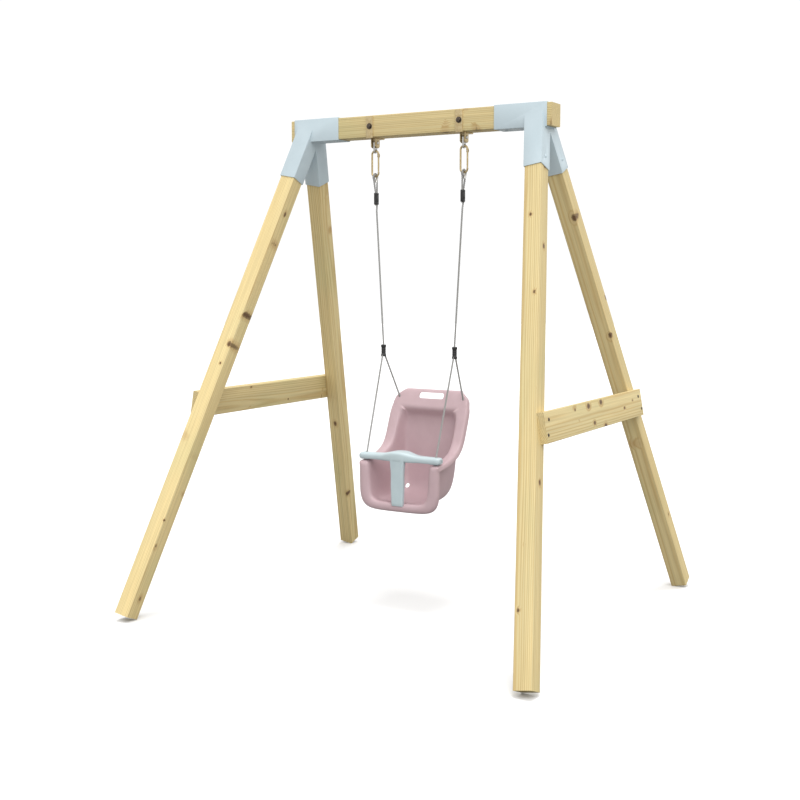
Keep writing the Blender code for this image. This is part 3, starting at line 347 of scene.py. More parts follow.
def make_handled_surface():
    """Mottling, fine scratches and a moulded or sprayed texture, for plastic and metal."""
    tree, given, result = new_tree(
        "handled_surface",
        "ShaderNodeTree",
        (("Mottle Size", "Float", 0.02), ("Grain Size", "Float", 0.0008), ("Scratch Amount", "Float", 0.3)),
        (("Mottle", "Float"), ("Scratches", "Float"), ("Height", "Float")),
    )
    place = add(tree, "ShaderNodeTexCoord").outputs["Object"]
    textures = []
    for size, detail, roughness in (("Mottle Size", 3.0, 0.55), ("Grain Size", 1.0, 0.5)):
        scale = reckon(tree, "DIVIDE", 1.0, given.outputs[size])
        values = {"Vector": place, "Scale": scale, "Detail": detail, "Roughness": roughness}
        textures.append(add(tree, "ShaderNodeTexNoise", values).outputs["Fac"])
    mottle, grain = textures
    scratches = 0.0
    for turn, size in ((0.4, 210.0), (1.9, 260.0)):
        turned = put(tree, "ShaderNodeMapping", {"Vector": place, "Rotation": (turn, turn * 0.7, turn * 1.3)})
        lines = noise(tree, turned, (size * 6.0, size * 0.25, size * 0.25), 0.0)
        scratches = reckon(tree, "ADD", scratches, span(tree, lines, 0.70, 0.76))
    patchy = span(tree, mottle, 0.45, 0.65)
    scratches = reckon(tree, "MULTIPLY", scratches, patchy, clamp=True)
    scratches = reckon(tree, "MULTIPLY", scratches, given.outputs["Scratch Amount"])
    height = reckon(tree, "SUBTRACT", grain, reckon(tree, "MULTIPLY", scratches, 0.8))
    for name, value in (("Mottle", mottle), ("Scratches", scratches), ("Height", height)):
        tree.links.new(value, result.inputs[name])
    return tree


HANDLED_SURFACE = make_handled_surface()


def bare_material(name, roughness, metallic=0.0):
    made = bpy.data.materials.new(name)
    made.use_nodes = True
    shader = made.node_tree.nodes["Principled BSDF"]
    shader.inputs["Roughness"].default_value = roughness
    shader.inputs["Metallic"].default_value = metallic
    return made, made.node_tree, shader


def handled_material(name, light, dark, roughness, metallic, mottle, grain, scratch, bump, depth):
    """A finish that varies between two colours, with scuffs that are paler and rougher."""
    made, tree, shader = bare_material(name, roughness[0], metallic)
    sizes = {"Mottle Size": mottle, "Grain Size": grain, "Scratch Amount": scratch}
    worn = add(tree, "ShaderNodeGroup", sizes, node_tree=HANDLED_SURFACE).outputs
    colour = blend(tree, span(tree, worn["Mottle"], 0.3, 0.7), (*dark, 1.0), (*light, 1.0))
    paler = tuple(min(1.0, part * 1.12 + 0.02) for part in light)
    colour = blend(tree, worn["Scratches"], colour, (*paler, 1.0))
    tree.links.new(colour, shader.inputs["Base Color"])
    rough = span(tree, worn["Mottle"], 0.25, 0.75, *roughness)
    rough = reckon(tree, "ADD", rough, reckon(tree, "MULTIPLY", worn["Scratches"], 0.2), clamp=True)
    tree.links.new(rough, shader.inputs["Roughness"])
    add_relief(tree, shader, worn["Height"], bump, depth)
    return made


# ---------------------------------------------------------------- materials


def make_timber_finish():
    """Planed softwood, solid right through: growth rings about a pith, fibres, knots and end grain."""
    made, tree, shader = bare_material("planed_timber", 0.6)
    place = add(tree, "ShaderNodeAttribute", attribute_name="grain_place").outputs["Vector"]
    tone_and_painted_light = add(tree, "ShaderNodeAttribute", attribute_name="board_tone").outputs["Fac"]

    # knots: branch stubs that reach out to two of the faces
    cell = (9.5, 9.5, 6.2)
    knot_space = reckon_vector(tree, "MULTIPLY", place, cell)
    stubs = add(tree, "ShaderNodeTexVoronoi", {"Vector": knot_space, "Scale": 1.0}, feature="F1")
    lot = add(tree, "ShaderNodeSeparateColor", {"Color": stubs.outputs["Color"]})
    away = reckon_vector(tree, "SUBTRACT", knot_space, stubs.outputs["Position"])
    away = reckon_vector(tree, "DIVIDE", away, cell)
    across_width = reckon(tree, "GREATER_THAN", lot.outputs["Red"], 0.5)
    squeeze = add(
        tree,
        "ShaderNodeMix",
        {0: across_width, 4: (1.0, 0.16, 0.70), 5: (0.16, 1.0, 0.70)},
        data_type="VECTOR",
    ).outputs[1]
    reach = reckon_vector(tree, "LENGTH", reckon_vector(tree, "MULTIPLY", away, squeeze))
    ragged = reckon(tree, "SUBTRACT", noise(tree, place, (160, 160, 160)), 0.5)
    reach = reckon(tree, "ADD", reach, reckon(tree, "MULTIPLY", ragged, 0.005))
    # a knot near the border of its cell is left out, since it would be cut off there
    values = {"Vector": knot_space, "Scale": 1.0}
    border = add(tree, "ShaderNodeTexVoronoi", values, feature="DISTANCE_TO_EDGE")
    clear = span(tree, border.outputs["Distance"], 0.02, 0.22)
    present = reckon(tree, "GREATER_THAN", lot.outputs["Blue"], 0.22)
    size = span(tree, lot.outputs["Green"], 0.0, 1.0, 0.0030, 0.0088)
    size = reckon(tree, "MULTIPLY", reckon(tree, "MULTIPLY", size, present), clear)
    ratio = reckon(tree, "DIVIDE", reach, reckon(tree, "ADD", size, 0.0001))
    core = span(tree, ratio, 1.10, 0.72)
    rim = reckon(tree, "SUBTRACT", span(tree, ratio, 1.45, 1.0), core, clamp=True)
    halo = reckon(tree, "MULTIPLY", span(tree, ratio, 3.2, 0.9), clear)

    # growth rings, pushed aside by the knots
    sway = noise(tree, place, (3.0, 3.0, 1.1), 1.0)
    sway = reckon(tree, "MULTIPLY", reckon(tree, "SUBTRACT", sway, 0.5), 0.035)
    push = reckon(tree, "MULTIPLY", halo, 0.0055)
    drift = add(tree, "ShaderNodeCombineXYZ", {"X": reckon(tree, "ADD", sway, push), "Y": push, "Z": 0.0})
    along = reckon_vector(tree, "MULTIPLY", place, (1.0, 1.0, 0.05))
    trunk = reckon_vector(tree, "ADD", along, drift.outputs["Vector"])
    values = {"Vector": trunk, "Scale": 46.0, "Distortion": 2.2}
    values |= {"Detail": 2.0, "Detail Scale": 0.9, "Detail Roughness": 0.5}
    rings = add(tree, "ShaderNodeTexWave", values, wave_type="RINGS", rings_direction="Z").outputs["Fac"]
    late = reckon(tree, "POWER", rings, 2.6)
    fibre = noise(tree, place, (700.0, 700.0, 9.0), 2.0, 0.6)
    streak = noise(tree, place, (120.0, 120.0, 1.6), 2.0, 0.55)
    patch = noise(tree, place, (9.0, 9.0, 1.6), 2.0)

    early_colour = blend(tree, patch, (0.745, 0.585, 0.280, 1.0), (0.800, 0.680, 0.370, 1.0))
    late_colour = blend(tree, patch, (0.540, 0.350, 0.125, 1.0), (0.610, 0.430, 0.170, 1.0))
    colour = blend(tree, reckon(tree, "MULTIPLY", late, 0.62), early_colour, late_colour)
    green_tint = span(tree, noise(tree, place, (5.0, 5.0, 2.2), 1.0), 0.48, 0.75, 0.0, 0.35)
    colour = blend(tree, green_tint, colour, (0.545, 0.540, 0.270, 1.0))
    streaks = span(tree, streak, 0.30, 0.70, 0.90, 1.04)
    fibres = span(tree, fibre, 0.30, 0.70, 0.93, 1.03)
    # painted light in part: the board's tone makes whole boards paler or darker for the light that falls on
    # them, besides their own difference in colour
    grey = reckon(tree, "MULTIPLY", reckon(tree, "MULTIPLY", streaks, fibres), tone_and_painted_light)
    greys = add(tree, "ShaderNodeCombineXYZ", {"X": grey, "Y": grey, "Z": grey}).outputs["Vector"]
    colour = blend(tree, 1.0, colour, greys, "MULTIPLY")
    colour = blend(tree, reckon(tree, "MULTIPLY", halo, 0.42), colour, (0.430, 0.215, 0.065, 1.0))
    colour = blend(tree, reckon(tree, "MULTIPLY", core, 0.90), colour, (0.095, 0.040, 0.016, 1.0))
    colour = blend(tree, reckon(tree, "MULTIPLY", rim, 0.75), colour, (0.060, 0.028, 0.013, 1.0))
    tree.links.new(colour, shader.inputs["Base Color"])

    rough = span(tree, fibre, 0.3, 0.7, 0.52, 0.66)
    rough = reckon(tree, "ADD", rough, reckon(tree, "MULTIPLY", core, -0.12))
    tree.links.new(rough, shader.inputs["Roughness"])
    height = reckon(tree, "ADD", reckon(tree, "MULTIPLY", late, 0.35), reckon(tree, "MULTIPLY", fibre, 0.5))
    height = reckon(tree, "ADD", height, reckon(tree, "MULTIPLY", core, 0.5))
    add_relief(tree, shader, height, 0.35, 0.0006)
    shader.inputs["Specular IOR Level"].default_value = 0.35
    return made


def make_rope_finish():
    """Twisted polypropylene: the yarns of each strand run across the lay."""
    made, tree, shader = bare_material("twisted_rope", 0.7)
    side = add(tree, "ShaderNodeAttribute", attribute_name="strand_side").outputs["Vector"]
    run = add(tree, "ShaderNodeAttribute", attribute_name="rope_run").outputs["Fac"]
    parts = add(tree, "ShaderNodeSeparateXYZ", {"Vector": side})
    angle = reckon(tree, "ARCTAN2", parts.outputs["Y"], parts.outputs["X"])
    yarn_ridges_and_groove_shade = reckon(tree, "ADD", reckon(tree, "MULTIPLY", angle, 9.0), reckon(tree, "MULTIPLY", run, -900.0))
    yarn_ridges_and_groove_shade = reckon(tree, "MULTIPLY_ADD", reckon(tree, "SINE", yarn_ridges_and_groove_shade), 0.5, 0.5)
    place = add(tree, "ShaderNodeTexCoord").outputs["Object"]
    fuzz = noise(tree, place, (1400.0, 1400.0, 1400.0), 2.0, 0.6)
    soil = noise(tree, place, (22.0, 22.0, 9.0), 2.0)
    # painted shade: the colour is darker in the grooves between the yarns, where the bump is low
    colour = blend(tree, yarn_ridges_and_groove_shade, (0.300, 0.297, 0.290, 1.0), (0.540, 0.537, 0.525, 1.0))
    colour = blend(tree, span(tree, fuzz, 0.45, 0.75, 0.0, 0.5), colour, (0.640, 0.635, 0.620, 1.0))
    colour = blend(tree, span(tree, soil, 0.45, 0.75, 0.0, 0.3), colour, (0.330, 0.310, 0.270, 1.0))
    tree.links.new(colour, shader.inputs["Base Color"])
    tree.links.new(span(tree, fuzz, 0.3, 0.7, 0.62, 0.82), shader.inputs["Roughness"])
    height = reckon(tree, "ADD", yarn_ridges_and_groove_shade, reckon(tree, "MULTIPLY", fuzz, 0.6))
    add_relief(tree, shader, height, 0.5, 0.0003)
    shader.inputs["Sheen Weight"].default_value = 0.15
    return made


# slot: material, light colour, dark colour, roughness from and to, metallic,
# mottle size, grain size, scratches, bump strength, bump depth
HANDLED_FINISHES = {
    "painted_steel": (
        *("powder_coated_steel", (0.605, 0.712, 0.758), (0.575, 0.682, 0.728), (0.36, 0.46), 0.0),
        *(0.09, 0.0016, 0.12, 0.12, 0.0003),
    ),
    "yellow_zinc": (
        *("yellow_zinc_plate", (0.700, 0.570, 0.330), (0.560, 0.425, 0.220), (0.30, 0.46), 0.85),
        *(0.012, 0.0010, 0.5, 0.10, 0.0002),
    ),
    "dark_steel": (
        *("dark_plated_steel", (0.150, 0.120, 0.095), (0.070, 0.055, 0.045), (0.36, 0.55), 0.75),
        *(0.006, 0.0008, 0.4, 0.12, 0.0002),
    ),
    "bright_steel": (
        *("bright_zinc_plate", (0.720, 0.715, 0.690), (0.560, 0.555, 0.540), (0.24, 0.40), 0.95),
        *(0.008, 0.0009, 0.4, 0.08, 0.0002),
    ),
    "black_plastic": (
        *("black_moulding", (0.030, 0.030, 0.031), (0.018, 0.018, 0.019), (0.38, 0.52), 0.0),
        *(0.010, 0.0006, 0.25, 0.15, 0.0002),
    ),
    "nylon": (
        *("natural_nylon", (0.720, 0.700, 0.630), (0.640, 0.615, 0.545), (0.42, 0.55), 0.0),
        *(0.008, 0.0006, 0.2, 0.10, 0.0002),
    ),
    "pink_plastic": (
        *("pink_moulding", (0.590, 0.432, 0.458), (0.565, 0.408, 0.434), (0.36, 0.46), 0.0),
        *(0.055, 0.0007, 0.10, 0.10, 0.0002),
    ),
    "pale_blue_plastic": (
        *("pale_blue_moulding", (0.560, 0.662, 0.690), (0.535, 0.638, 0.666), (0.32, 0.42), 0.0),
        *(0.045, 0.0007, 0.10, 0.10, 0.0002),
    ),
}
FINISHES = {"timber": make_timber_finish(), "rope": make_rope_finish()}
for finish_slot, look in HANDLED_FINISHES.items():
    FINISHES[finish_slot] = handled_material(*look)


# ---------------------------------------------------------------- pieces


def axis_frame(origin, x_axis, z_axis):
    """A matrix with its origin and two of its axes set."""
    x_axis = Vector(x_axis).normalized()
    z_axis = Vector(z_axis).normalized()
    turn = Matrix((x_axis, z_axis.cross(x_axis), z_axis)).transposed().to_4x4()
    return Matrix.Translation(Vector(origin)) @ turn


def helper(name, mesh):
    obj = bpy.data.objects.new(name, mesh)
    bpy.context.scene.collection.objects.link(obj)
    return obj


def settled(obj):
    """The evaluated object as a plain mesh, placed in the world, with the object removed."""
    bpy.context.view_layer.update()
    graph = bpy.context.evaluated_depsgraph_get()
    evaluated = obj.evaluated_get(graph)
    mesh = bpy.data.meshes.new_from_object(evaluated, preserve_all_data_layers=True, depsgraph=graph)
    mesh.transform(obj.matrix_world)
    bpy.data.objects.remove(obj, do_unlink=True)
    return mesh


def finish_piece(name, mesh, body, slot, replaced, angle=SMOOTH_ANGLE):
    """Puts a finished mesh on its body with its material, in place of the frame's own nodes.

    Edges sharper than angle, in degrees, are drawn sharp.
    """
    mesh.name = name
    mesh.materials.clear()
    mesh.materials.append(FINISHES[slot])
    for face in mesh.polygons:
        face.material_index = 0
    mesh.shade_smooth()
    mesh.set_sharp_from_angle(angle=math.radians(angle))
    obj = helper(name, mesh)
    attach(obj, body)
    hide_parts(*replaced)


def finish_node(node, ending, mesh, body, slot, angle=SMOOTH_ANGLE):
    """A finished piece that stands in for one node and takes its name."""
    finish_piece(f"{node}_{ending}", mesh, body, slot, (node,), angle)


def mesh_of(bm):
    bmesh.ops.recalc_face_normals(bm, faces=bm.faces)
    mesh = bpy.data.meshes.new("shape")
    bm.to_mesh(mesh)
    bm.free()
    return mesh


def arc(radius, start, end, steps, centre=(0.0, 0.0)):
    """Points on an arc, with angles in degrees."""
    angles = [math.radians(start + (end - start) * i / steps) for i in range(steps + 1)]
    return [(centre[0] + radius * math.cos(a), centre[1] + radius * math.sin(a)) for a in angles]


def rounded_rectangle(width, height, radius, steps=4):
    points = []
    for x_side, y_side, angle in ((1, 1, 0), (-1, 1, 90), (-1, -1, 180), (1, -1, 270)):
        centre = (x_side * (width / 2 - radius), y_side * (height / 2 - radius))
        points += arc(radius, angle, angle + 90, steps, centre)
    return points


def loft_mesh(rings, ring_closed=False):
    """Skin through rings of equal point counts, with its ends filled or its last ring joined to its first."""
    bm = bmesh.new()
    loops = [[bm.verts.new(point) for point in ring] for ring in rings]
    count = len(loops[0])
    pairs = list(zip(loops, loops[1:]))
    if ring_closed:
        pairs.append((loops[-1], loops[0]))
    for near, far in pairs:
        for i in range(count):
            j = (i + 1) % count
            bm.faces.new((near[i], near[j], far[j], far[i]))
    if not ring_closed:
        bm.faces.new(loops[0])
        bm.faces.new(loops[-1])
    return mesh_of(bm)


def both_ways(profile):
    """A profile of (width, height) points, carried on by its own mirror image in the middle plane."""
    return [*profile, *[(width, -height) for width, height in reversed(profile)]]


def plug(radius, low, high):
    """The profile of a plain round bar."""
    return [(0.0, high), (radius, high), (radius, low), (0.0, low)]


def turned_mesh(profile, matrix, steps=32):
    """A profile of (radius, height) points turned round its own Z axis, and placed by matrix.

    It starts and ends on the axis, or closes on itself.
    """
    bm = bmesh.new()
    solid = profile[0][0] == 0.0
    rings = []
    for radius, height in profile:
        if radius == 0.0:
            rings.append([bm.verts.new((0.0, 0.0, height))])
            continue
        angles = [2 * math.pi * i / steps for i in range(steps)]
        rings.append([bm.verts.new((radius * math.cos(a), radius * math.sin(a), height)) for a in angles])
    pairs = list(zip(rings, rings[1:]))
    if not solid:
        pairs.append((rings[-1], rings[0]))
    for near, far in pairs:
        for i in range(steps):
            j = (i + 1) % steps
            corners = [near[i % len(near)], near[j % len(near)], far[j % len(far)], far[i % len(far)]]
            unique = list(dict.fromkeys(corners))
            if len(unique) > 2:
                bm.faces.new(unique)
    mesh = mesh_of(bm)
    mesh.transform(matrix)
    return mesh


def box_mesh(low, high):
    low = Vector(low)
    high = Vector(high)
    bm = bmesh.new()
    size = Matrix.Diagonal((*(high - low), 1.0))
    bmesh.ops.create_cube(bm, size=1.0, matrix=Matrix.Translation((low + high) / 2) @ size)
    return mesh_of(bm)


def rod_mesh(start, end, radius):
    half = (end - start).length / 2
    turn = (end - start).to_track_quat("Z", "Y").to_matrix().to_4x4()
    place = Matrix.Translation((start + end) / 2) @ turn
    return turned_mesh(plug(radius, -half, half), place, 24)


def tube_rings(points, radius, steps=20):
    """Round sections along points, which lie in a plane square to the Y axis."""
    up = Vector((0.0, 1.0, 0.0))
    rings = []
    count = len(points)
    for i, point in enumerate(points):
        point = Vector(point)
        before = Vector(points[max(i - 1, 0)])
        after = Vector(points[min(i + 1, count - 1)])
        along = (after - before).normalized()
        side = along.cross(up).normalized()
        ring = []
        for k in range(steps):
            angle = 2 * math.pi * k / steps
            ring.append(point + (side * math.cos(angle) + up * math.sin(angle)) * radius)
        rings.append(ring)
    return rings


def rounded_ends(rings, radius, steps=3):
    """Adds shrinking rings past both ends of a tube, so that its ends are domed a little."""

    def dome(ring, before):
        middle = sum(ring, Vector()) / len(ring)
        away = (middle - sum(before, Vector()) / len(before)).normalized()
        made = []
        for i in range(1, steps + 1):
            angle = math.radians(80.0 * i / steps)
            shift = away * radius * 0.35 * math.sin(angle)
            made.append([middle + (point - middle) * math.cos(angle) + shift for point in ring])
        return made

    return [*reversed(dome(rings[0], rings[1])), *rings, *dome(rings[-1], rings[-2])]


def combined(obj, meshes, operation="DIFFERENCE"):
    """Cuts meshes out of an object, or joins them to it, and returns the result as a plain mesh."""
    others = []
    for mesh in meshes:
        other = helper("other", mesh)
        other.hide_render = True
        modifier = obj.modifiers.new("combine", "BOOLEAN")
        modifier.operation = operation
        modifier.solver = "EXACT"
        modifier.object = other
        others.append(other)
    mesh = settled(obj)
    for other in others:
        bpy.data.objects.remove(other, do_unlink=True)
    return mesh


def refined(node, edge, angle=30.0):
    """A copy of a frame node with its triangles merged and its edges rounded."""
    bm = bmesh.new()
    bm.from_mesh(NODES[node].data)
    bmesh.ops.remove_doubles(bm, verts=bm.verts, dist=0.00002)
    bmesh.ops.dissolve_limit(bm, angle_limit=math.radians(1.0), verts=bm.verts, edges=bm.edges)
    mesh = bpy.data.meshes.new(node + "_refined")
    bm.to_mesh(mesh)
    bm.free()
    obj = helper(node + "_refined", mesh)
    bevel = obj.modifiers.new("edges", "BEVEL")
    bevel.width = edge
    bevel.segments = 2
    bevel.limit_method = "ANGLE"
    bevel.angle_limit = math.radians(angle)
    bevel.use_clamp_overlap = True
    return settled(obj)


# ---------------------------------------------------------------- geometry node trees


def new_shape_tree(name, inputs):
    inputs = (("Geometry", "Geometry", None), *inputs)
    tree, given, result = new_tree(name, "GeometryNodeTree", inputs, (("Geometry", "Geometry"),))
    tree.is_modifier = True
    return tree, given, result


def store(tree, geometry, name, value, kind="FLOAT"):
    """Keeps a value on every point under a name, for the materials."""
    values = {"Geometry": geometry, "Name": name}
    stored = add(tree, "GeometryNodeStoreNamedAttribute", values, data_type=kind)
    tree.links.new(value, stored.inputs["Value"])
    return stored.outputs[0]


def end_tree(tree, geometry, given, result):
    """Every tree ends the same way: real geometry, then its material."""
    real = put(tree, "GeometryNodeRealizeInstances", {"Geometry": geometry})
    values = {"Geometry": real, "Material": given.outputs["Material"]}
    tree.links.new(put(tree, "GeometryNodeSetMaterial", values), result.inputs["Geometry"])


def run_tree(obj, tree, values):
    modifier = obj.modifiers.new("shape", "NODES")
    modifier.node_group = tree
    for item in tree.interface.items_tree:
        if item.item_type == "SOCKET" and item.in_out == "INPUT" and item.name in values:
            modifier[item.identifier] = values[item.name]
    return settled(obj)


def make_timber_tree():
    """A length of planed timber: a square section with eased edges, drawn along Z."""
    tree, given, result = new_shape_tree(
        "planed_length",
        (
            ("Width", "Float", 0.07),
            ("Depth", "Float", 0.07),
            ("Low", "Float", -1.0),
            ("High", "Float", 0.0),
            ("Edge", "Float", 0.003),
            ("Lengths", "Int", 12),
            ("Cut From Trunk", "Vector", None),
            ("Tone And Painted Light", "Float", 1.0),
            ("Material", "Material", None),
        ),
    )
    asked = given.outputs
    low = put(tree, "ShaderNodeCombineXYZ", {"Z": asked["Low"]})
    high = put(tree, "ShaderNodeCombineXYZ", {"Z": asked["High"]})
    line = put(tree, "GeometryNodeCurvePrimitiveLine", {"Start": low, "End": high})
    line = put(tree, "GeometryNodeResampleCurve", {"Curve": line, "Count": asked["Lengths"]})
    sizes = {"Width": asked["Width"], "Height": asked["Depth"]}
    section = put(tree, "GeometryNodeCurvePrimitiveQuadrilateral", sizes)
    corners = {"Curve": section, "Radius": asked["Edge"], "Count": 4}
    section = put(tree, "GeometryNodeFilletCurve", corners, mode="POLY")
    swept = put(tree, "GeometryNodeCurveToMesh", {"Curve": line, "Profile Curve": section, "Fill Caps": True})
    where = put(tree, "GeometryNodeInputPosition")
    trunk_place = reckon_vector(tree, "ADD", where, asked["Cut From Trunk"])
    marked = store(tree, swept, "grain_place", trunk_place, "FLOAT_VECTOR")
    end_tree(tree, store(tree, marked, "board_tone", asked["Tone And Painted Light"]), given, result)
    return tree


def make_rope_tree():
    """Three strands laid round the path that the object's curve gives."""
    tree, given, result = new_shape_tree(
        "laid_rope",
        (
            ("Radius", "Float", ROPE_RADIUS),
            ("Strands", "Int", 3),
            ("Lay", "Float", ROPE_LAY),
            ("Step", "Float", 0.002),
            ("Material", "Material", None),
        ),
    )
    asked = given.outputs
    values = {"Curve": asked["Geometry"], "Length": asked["Step"]}
    path = put(tree, "GeometryNodeResampleCurve", values, mode="LENGTH")
    run = add(tree, "GeometryNodeSplineParameter").outputs["Length"]
    marked = store(tree, path, "rope_run", run)
    angle = reckon(tree, "MULTIPLY", reckon(tree, "DIVIDE", run, asked["Lay"]), 2 * math.pi)
    twisted = put(tree, "GeometryNodeSetCurveTilt", {"Curve": marked, "Tilt": angle})
    strand = reckon(tree, "MULTIPLY", asked["Radius"], 0.50)
    section = put(tree, "GeometryNodeCurvePrimitiveCircle", {"Resolution": 8, "Radius": strand})
    where = put(tree, "GeometryNodeInputPosition")
    section = store(tree, section, "strand_side", where, "FLOAT_VECTOR")
    values = {"Vertices": asked["Strands"], "Radius": strand}
    spots = put(tree, "GeometryNodeMeshCircle", values, fill_type="NONE")
    sections = put(tree, "GeometryNodeInstanceOnPoints", {"Points": spots, "Instance": section})
    sections = put(tree, "GeometryNodeRealizeInstances", {"Geometry": sections})
    values = {"Curve": twisted, "Profile Curve": sections, "Fill Caps": True}
    end_tree(tree, put(tree, "GeometryNodeCurveToMesh", values), given, result)
    return tree


def make_driven_tree():
    """One screw on every point of the object's mesh, its head along the point's drive direction."""
    tree, given, result = new_shape_tree(
        "driven_screws",
        (("Screw", "Object", None), ("Turn Seed", "Int", 4), ("Material", "Material", None)),
    )
    asked = given.outputs
    screw = add(tree, "GeometryNodeObjectInfo", {"Object": asked["Screw"]}).outputs["Geometry"]
    drive = put(tree, "GeometryNodeInputNamedAttribute", {"Name": "drive"}, data_type="FLOAT_VECTOR")
    values = {"Seed": asked["Turn Seed"], 0: (0.0, 0.0, 0.0), 1: (0.0, 0.0, math.pi)}
    spin = put(tree, "FunctionNodeRandomValue", values, data_type="FLOAT_VECTOR")
    lined = put(tree, "FunctionNodeAlignRotationToVector", {"Rotation": spin, "Vector": drive}, axis="Z")
    values = {"Points": asked["Geometry"], "Instance": screw, "Rotation": lined}
    end_tree(tree, put(tree, "GeometryNodeInstanceOnPoints", values), given, result)
    return tree


TIMBER_TREE = make_timber_tree()
ROPE_TREE = make_rope_tree()
DRIVEN_TREE = make_driven_tree()


# ---------------------------------------------------------------- timber


def outward(side):
    return Vector((side * math.cos(FRAME_LEAN), 0.0, math.sin(FRAME_LEAN)))


def down_slope(side):
    return Vector((side * math.sin(FRAME_LEAN), 0.0, -math.cos(FRAME_LEAN)))


def leg_frame(side, depth):
    """The leg's own axes: X out of the A-frame and Z up the leg."""
    down = down_slope(side) * math.cos(LEG_SPREAD) + Vector((0.0, depth * math.sin(LEG_SPREAD), 0.0))
    origin = (side * LEG_OFFSET, depth * LEG_DEPTH_OFFSET, BEAM_AXIS)
    return axis_frame(origin, outward(side), -down)


def leg_end(place):
    corner_drop = (LEG_SECTION / 2 - TIMBER_EDGE) * (abs(place[2][0]) + abs(place[2][1]))
    corner_drop += TIMBER_EDGE * math.hypot(place[2][0], place[2][1])
    return (BEAM_AXIS - corner_drop) / place[2][2]


def rail_frame(side):
    """The rail's own axes: X out of the A-frame and Y along the rail, with the drop down the slope."""
    offset = LEG_SECTION / 2 + RAIL_GAP + RAIL_THICKNESS / 2
    drop = (BEAM_AXIS + outward(side).z * offset - RAIL_MIDDLE) / math.cos(FRAME_LEAN)
    origin = Vector((side * LEG_OFFSET, 0.0, BEAM_AXIS)) + down_slope(side) * drop + outward(side) * offset
    return axis_frame(origin, outward(side), -down_slope(side)), drop


def planed(node, size, low, high, place, trunk, tone_and_painted_light):
    """Draws one length of timber in place of its node. size is across its own X and Y."""
    mesh = run_tree(
        helper(node + "_blank", bpy.data.meshes.new("blank")),
        TIMBER_TREE,
        {
            "Width": size[0],
            "Depth": size[1],
            "Low": low,
            "High": high,
            "Edge": TIMBER_EDGE,
            "Lengths": max(3, int((high - low) / 0.15)),
            "Cut From Trunk": trunk,
            "Tone And Painted Light": tone_and_painted_light,
            "Material": FINISHES["timber"],
        },
    )
    mesh.transform(place)
    finish_node(node, "planed", mesh, "stand", "timber", 50)


def make_timber():
    half = BEAM_LENGTH / 2
    along_x = axis_frame((0.0, 0.0, BEAM_AXIS), (0.0, 1.0, 0.0), (1.0, 0.0, 0.0))
    planed("beam", (BEAM_SECTION, BEAM_SECTION), -half, half, along_x, (0.050, 0.022, 1.93), 1.0)
    # each board: where it was cut from the trunk, and its tone; the tones are partly board-to-board
    # difference and partly painted light, the front-left leg painted paler as though more light fell on it
    # from the front-left
    trunks = {
        ("left", "front"): ((0.046, -0.030, 3.10), 1.12),
        ("left", "rear"): ((-0.052, 0.018, 5.62), 1.04),
        ("right", "front"): ((0.030, 0.052, 7.27), 0.99),
        ("right", "rear"): ((-0.020, -0.058, 9.91), 0.98),
    }
    for side_name, side in SIDES:
        for depth_name, depth in DEPTHS:
            place = leg_frame(side, depth)
            trunk, tone_and_painted_light = trunks[side_name, depth_name]
            size = (LEG_SECTION, LEG_SECTION)
            planed(f"leg_{depth_name}_{side_name}", size, -leg_end(place), -LEG_START, place, trunk, tone_and_painted_light)
        place, _ = rail_frame(side)
        along_y = place @ axis_frame((0.0, 0.0, 0.0), (1.0, 0.0, 0.0), (0.0, 1.0, 0.0))
        size = (RAIL_THICKNESS, RAIL_HEIGHT)
        trunk = (0.070, 0.031 * side, 12.4 + side)
        planed(f"rail_{side_name}", size, -RAIL_LENGTH / 2, RAIL_LENGTH / 2, along_y, trunk, 0.97)


# ---------------------------------------------------------------- brackets and screws


def make_brackets():
    for side_name, _ in SIDES:
        node = f"bracket_{side_name}"
        finish_node(node, "folded", refined(node, 0.0010), "stand", "painted_steel", 35)


def pan_screw():
    """A pan-head screw with a cross recess, its head standing on z = 0."""
    head = 0.0065
    shank = 0.003
    recess = Vector((head * 0.525, 0.00055, 0.0015))
    middle = Vector((0.0, 0.0, 0.0026))
    profile = [(0.0, 0.0026), (head * 0.35, 0.00255), (head * 0.62, 0.0023), (head * 0.84, 0.0017)]
    profile += [(head * 0.96, 0.0009), (head, 0.0002), (head * 0.98, 0.0), (shank, 0.0)]
    profile += [(shank, -0.050), (0.0, -0.053)]
    recesses = [box_mesh(middle - recess, middle + recess) for _ in range(2)]
    recesses[1].transform(Matrix.Rotation(math.pi / 2, 4, "Z"))
    blank = helper("screw_blank", turned_mesh(profile, Matrix.Identity(4), 24))
    screw = helper("screw_pattern", combined(blank, recesses))
    screw.hide_render = True
    return screw


def drive(name, spots, screw, slot, replaced):
    mesh = bpy.data.meshes.new(name)
    mesh.from_pydata([point + direction * 0.0003 for point, direction in spots], [], [])
    directions = mesh.attributes.new("drive", "FLOAT_VECTOR", "POINT")
    for item, (_, direction) in zip(directions.data, spots):
        item.vector = direction
    values = {"Screw": screw, "Turn Seed": 4, "Material": FINISHES[slot]}
    finish_piece(name, run_tree(helper(name, mesh), DRIVEN_TREE, values), "stand", slot, replaced, 30)


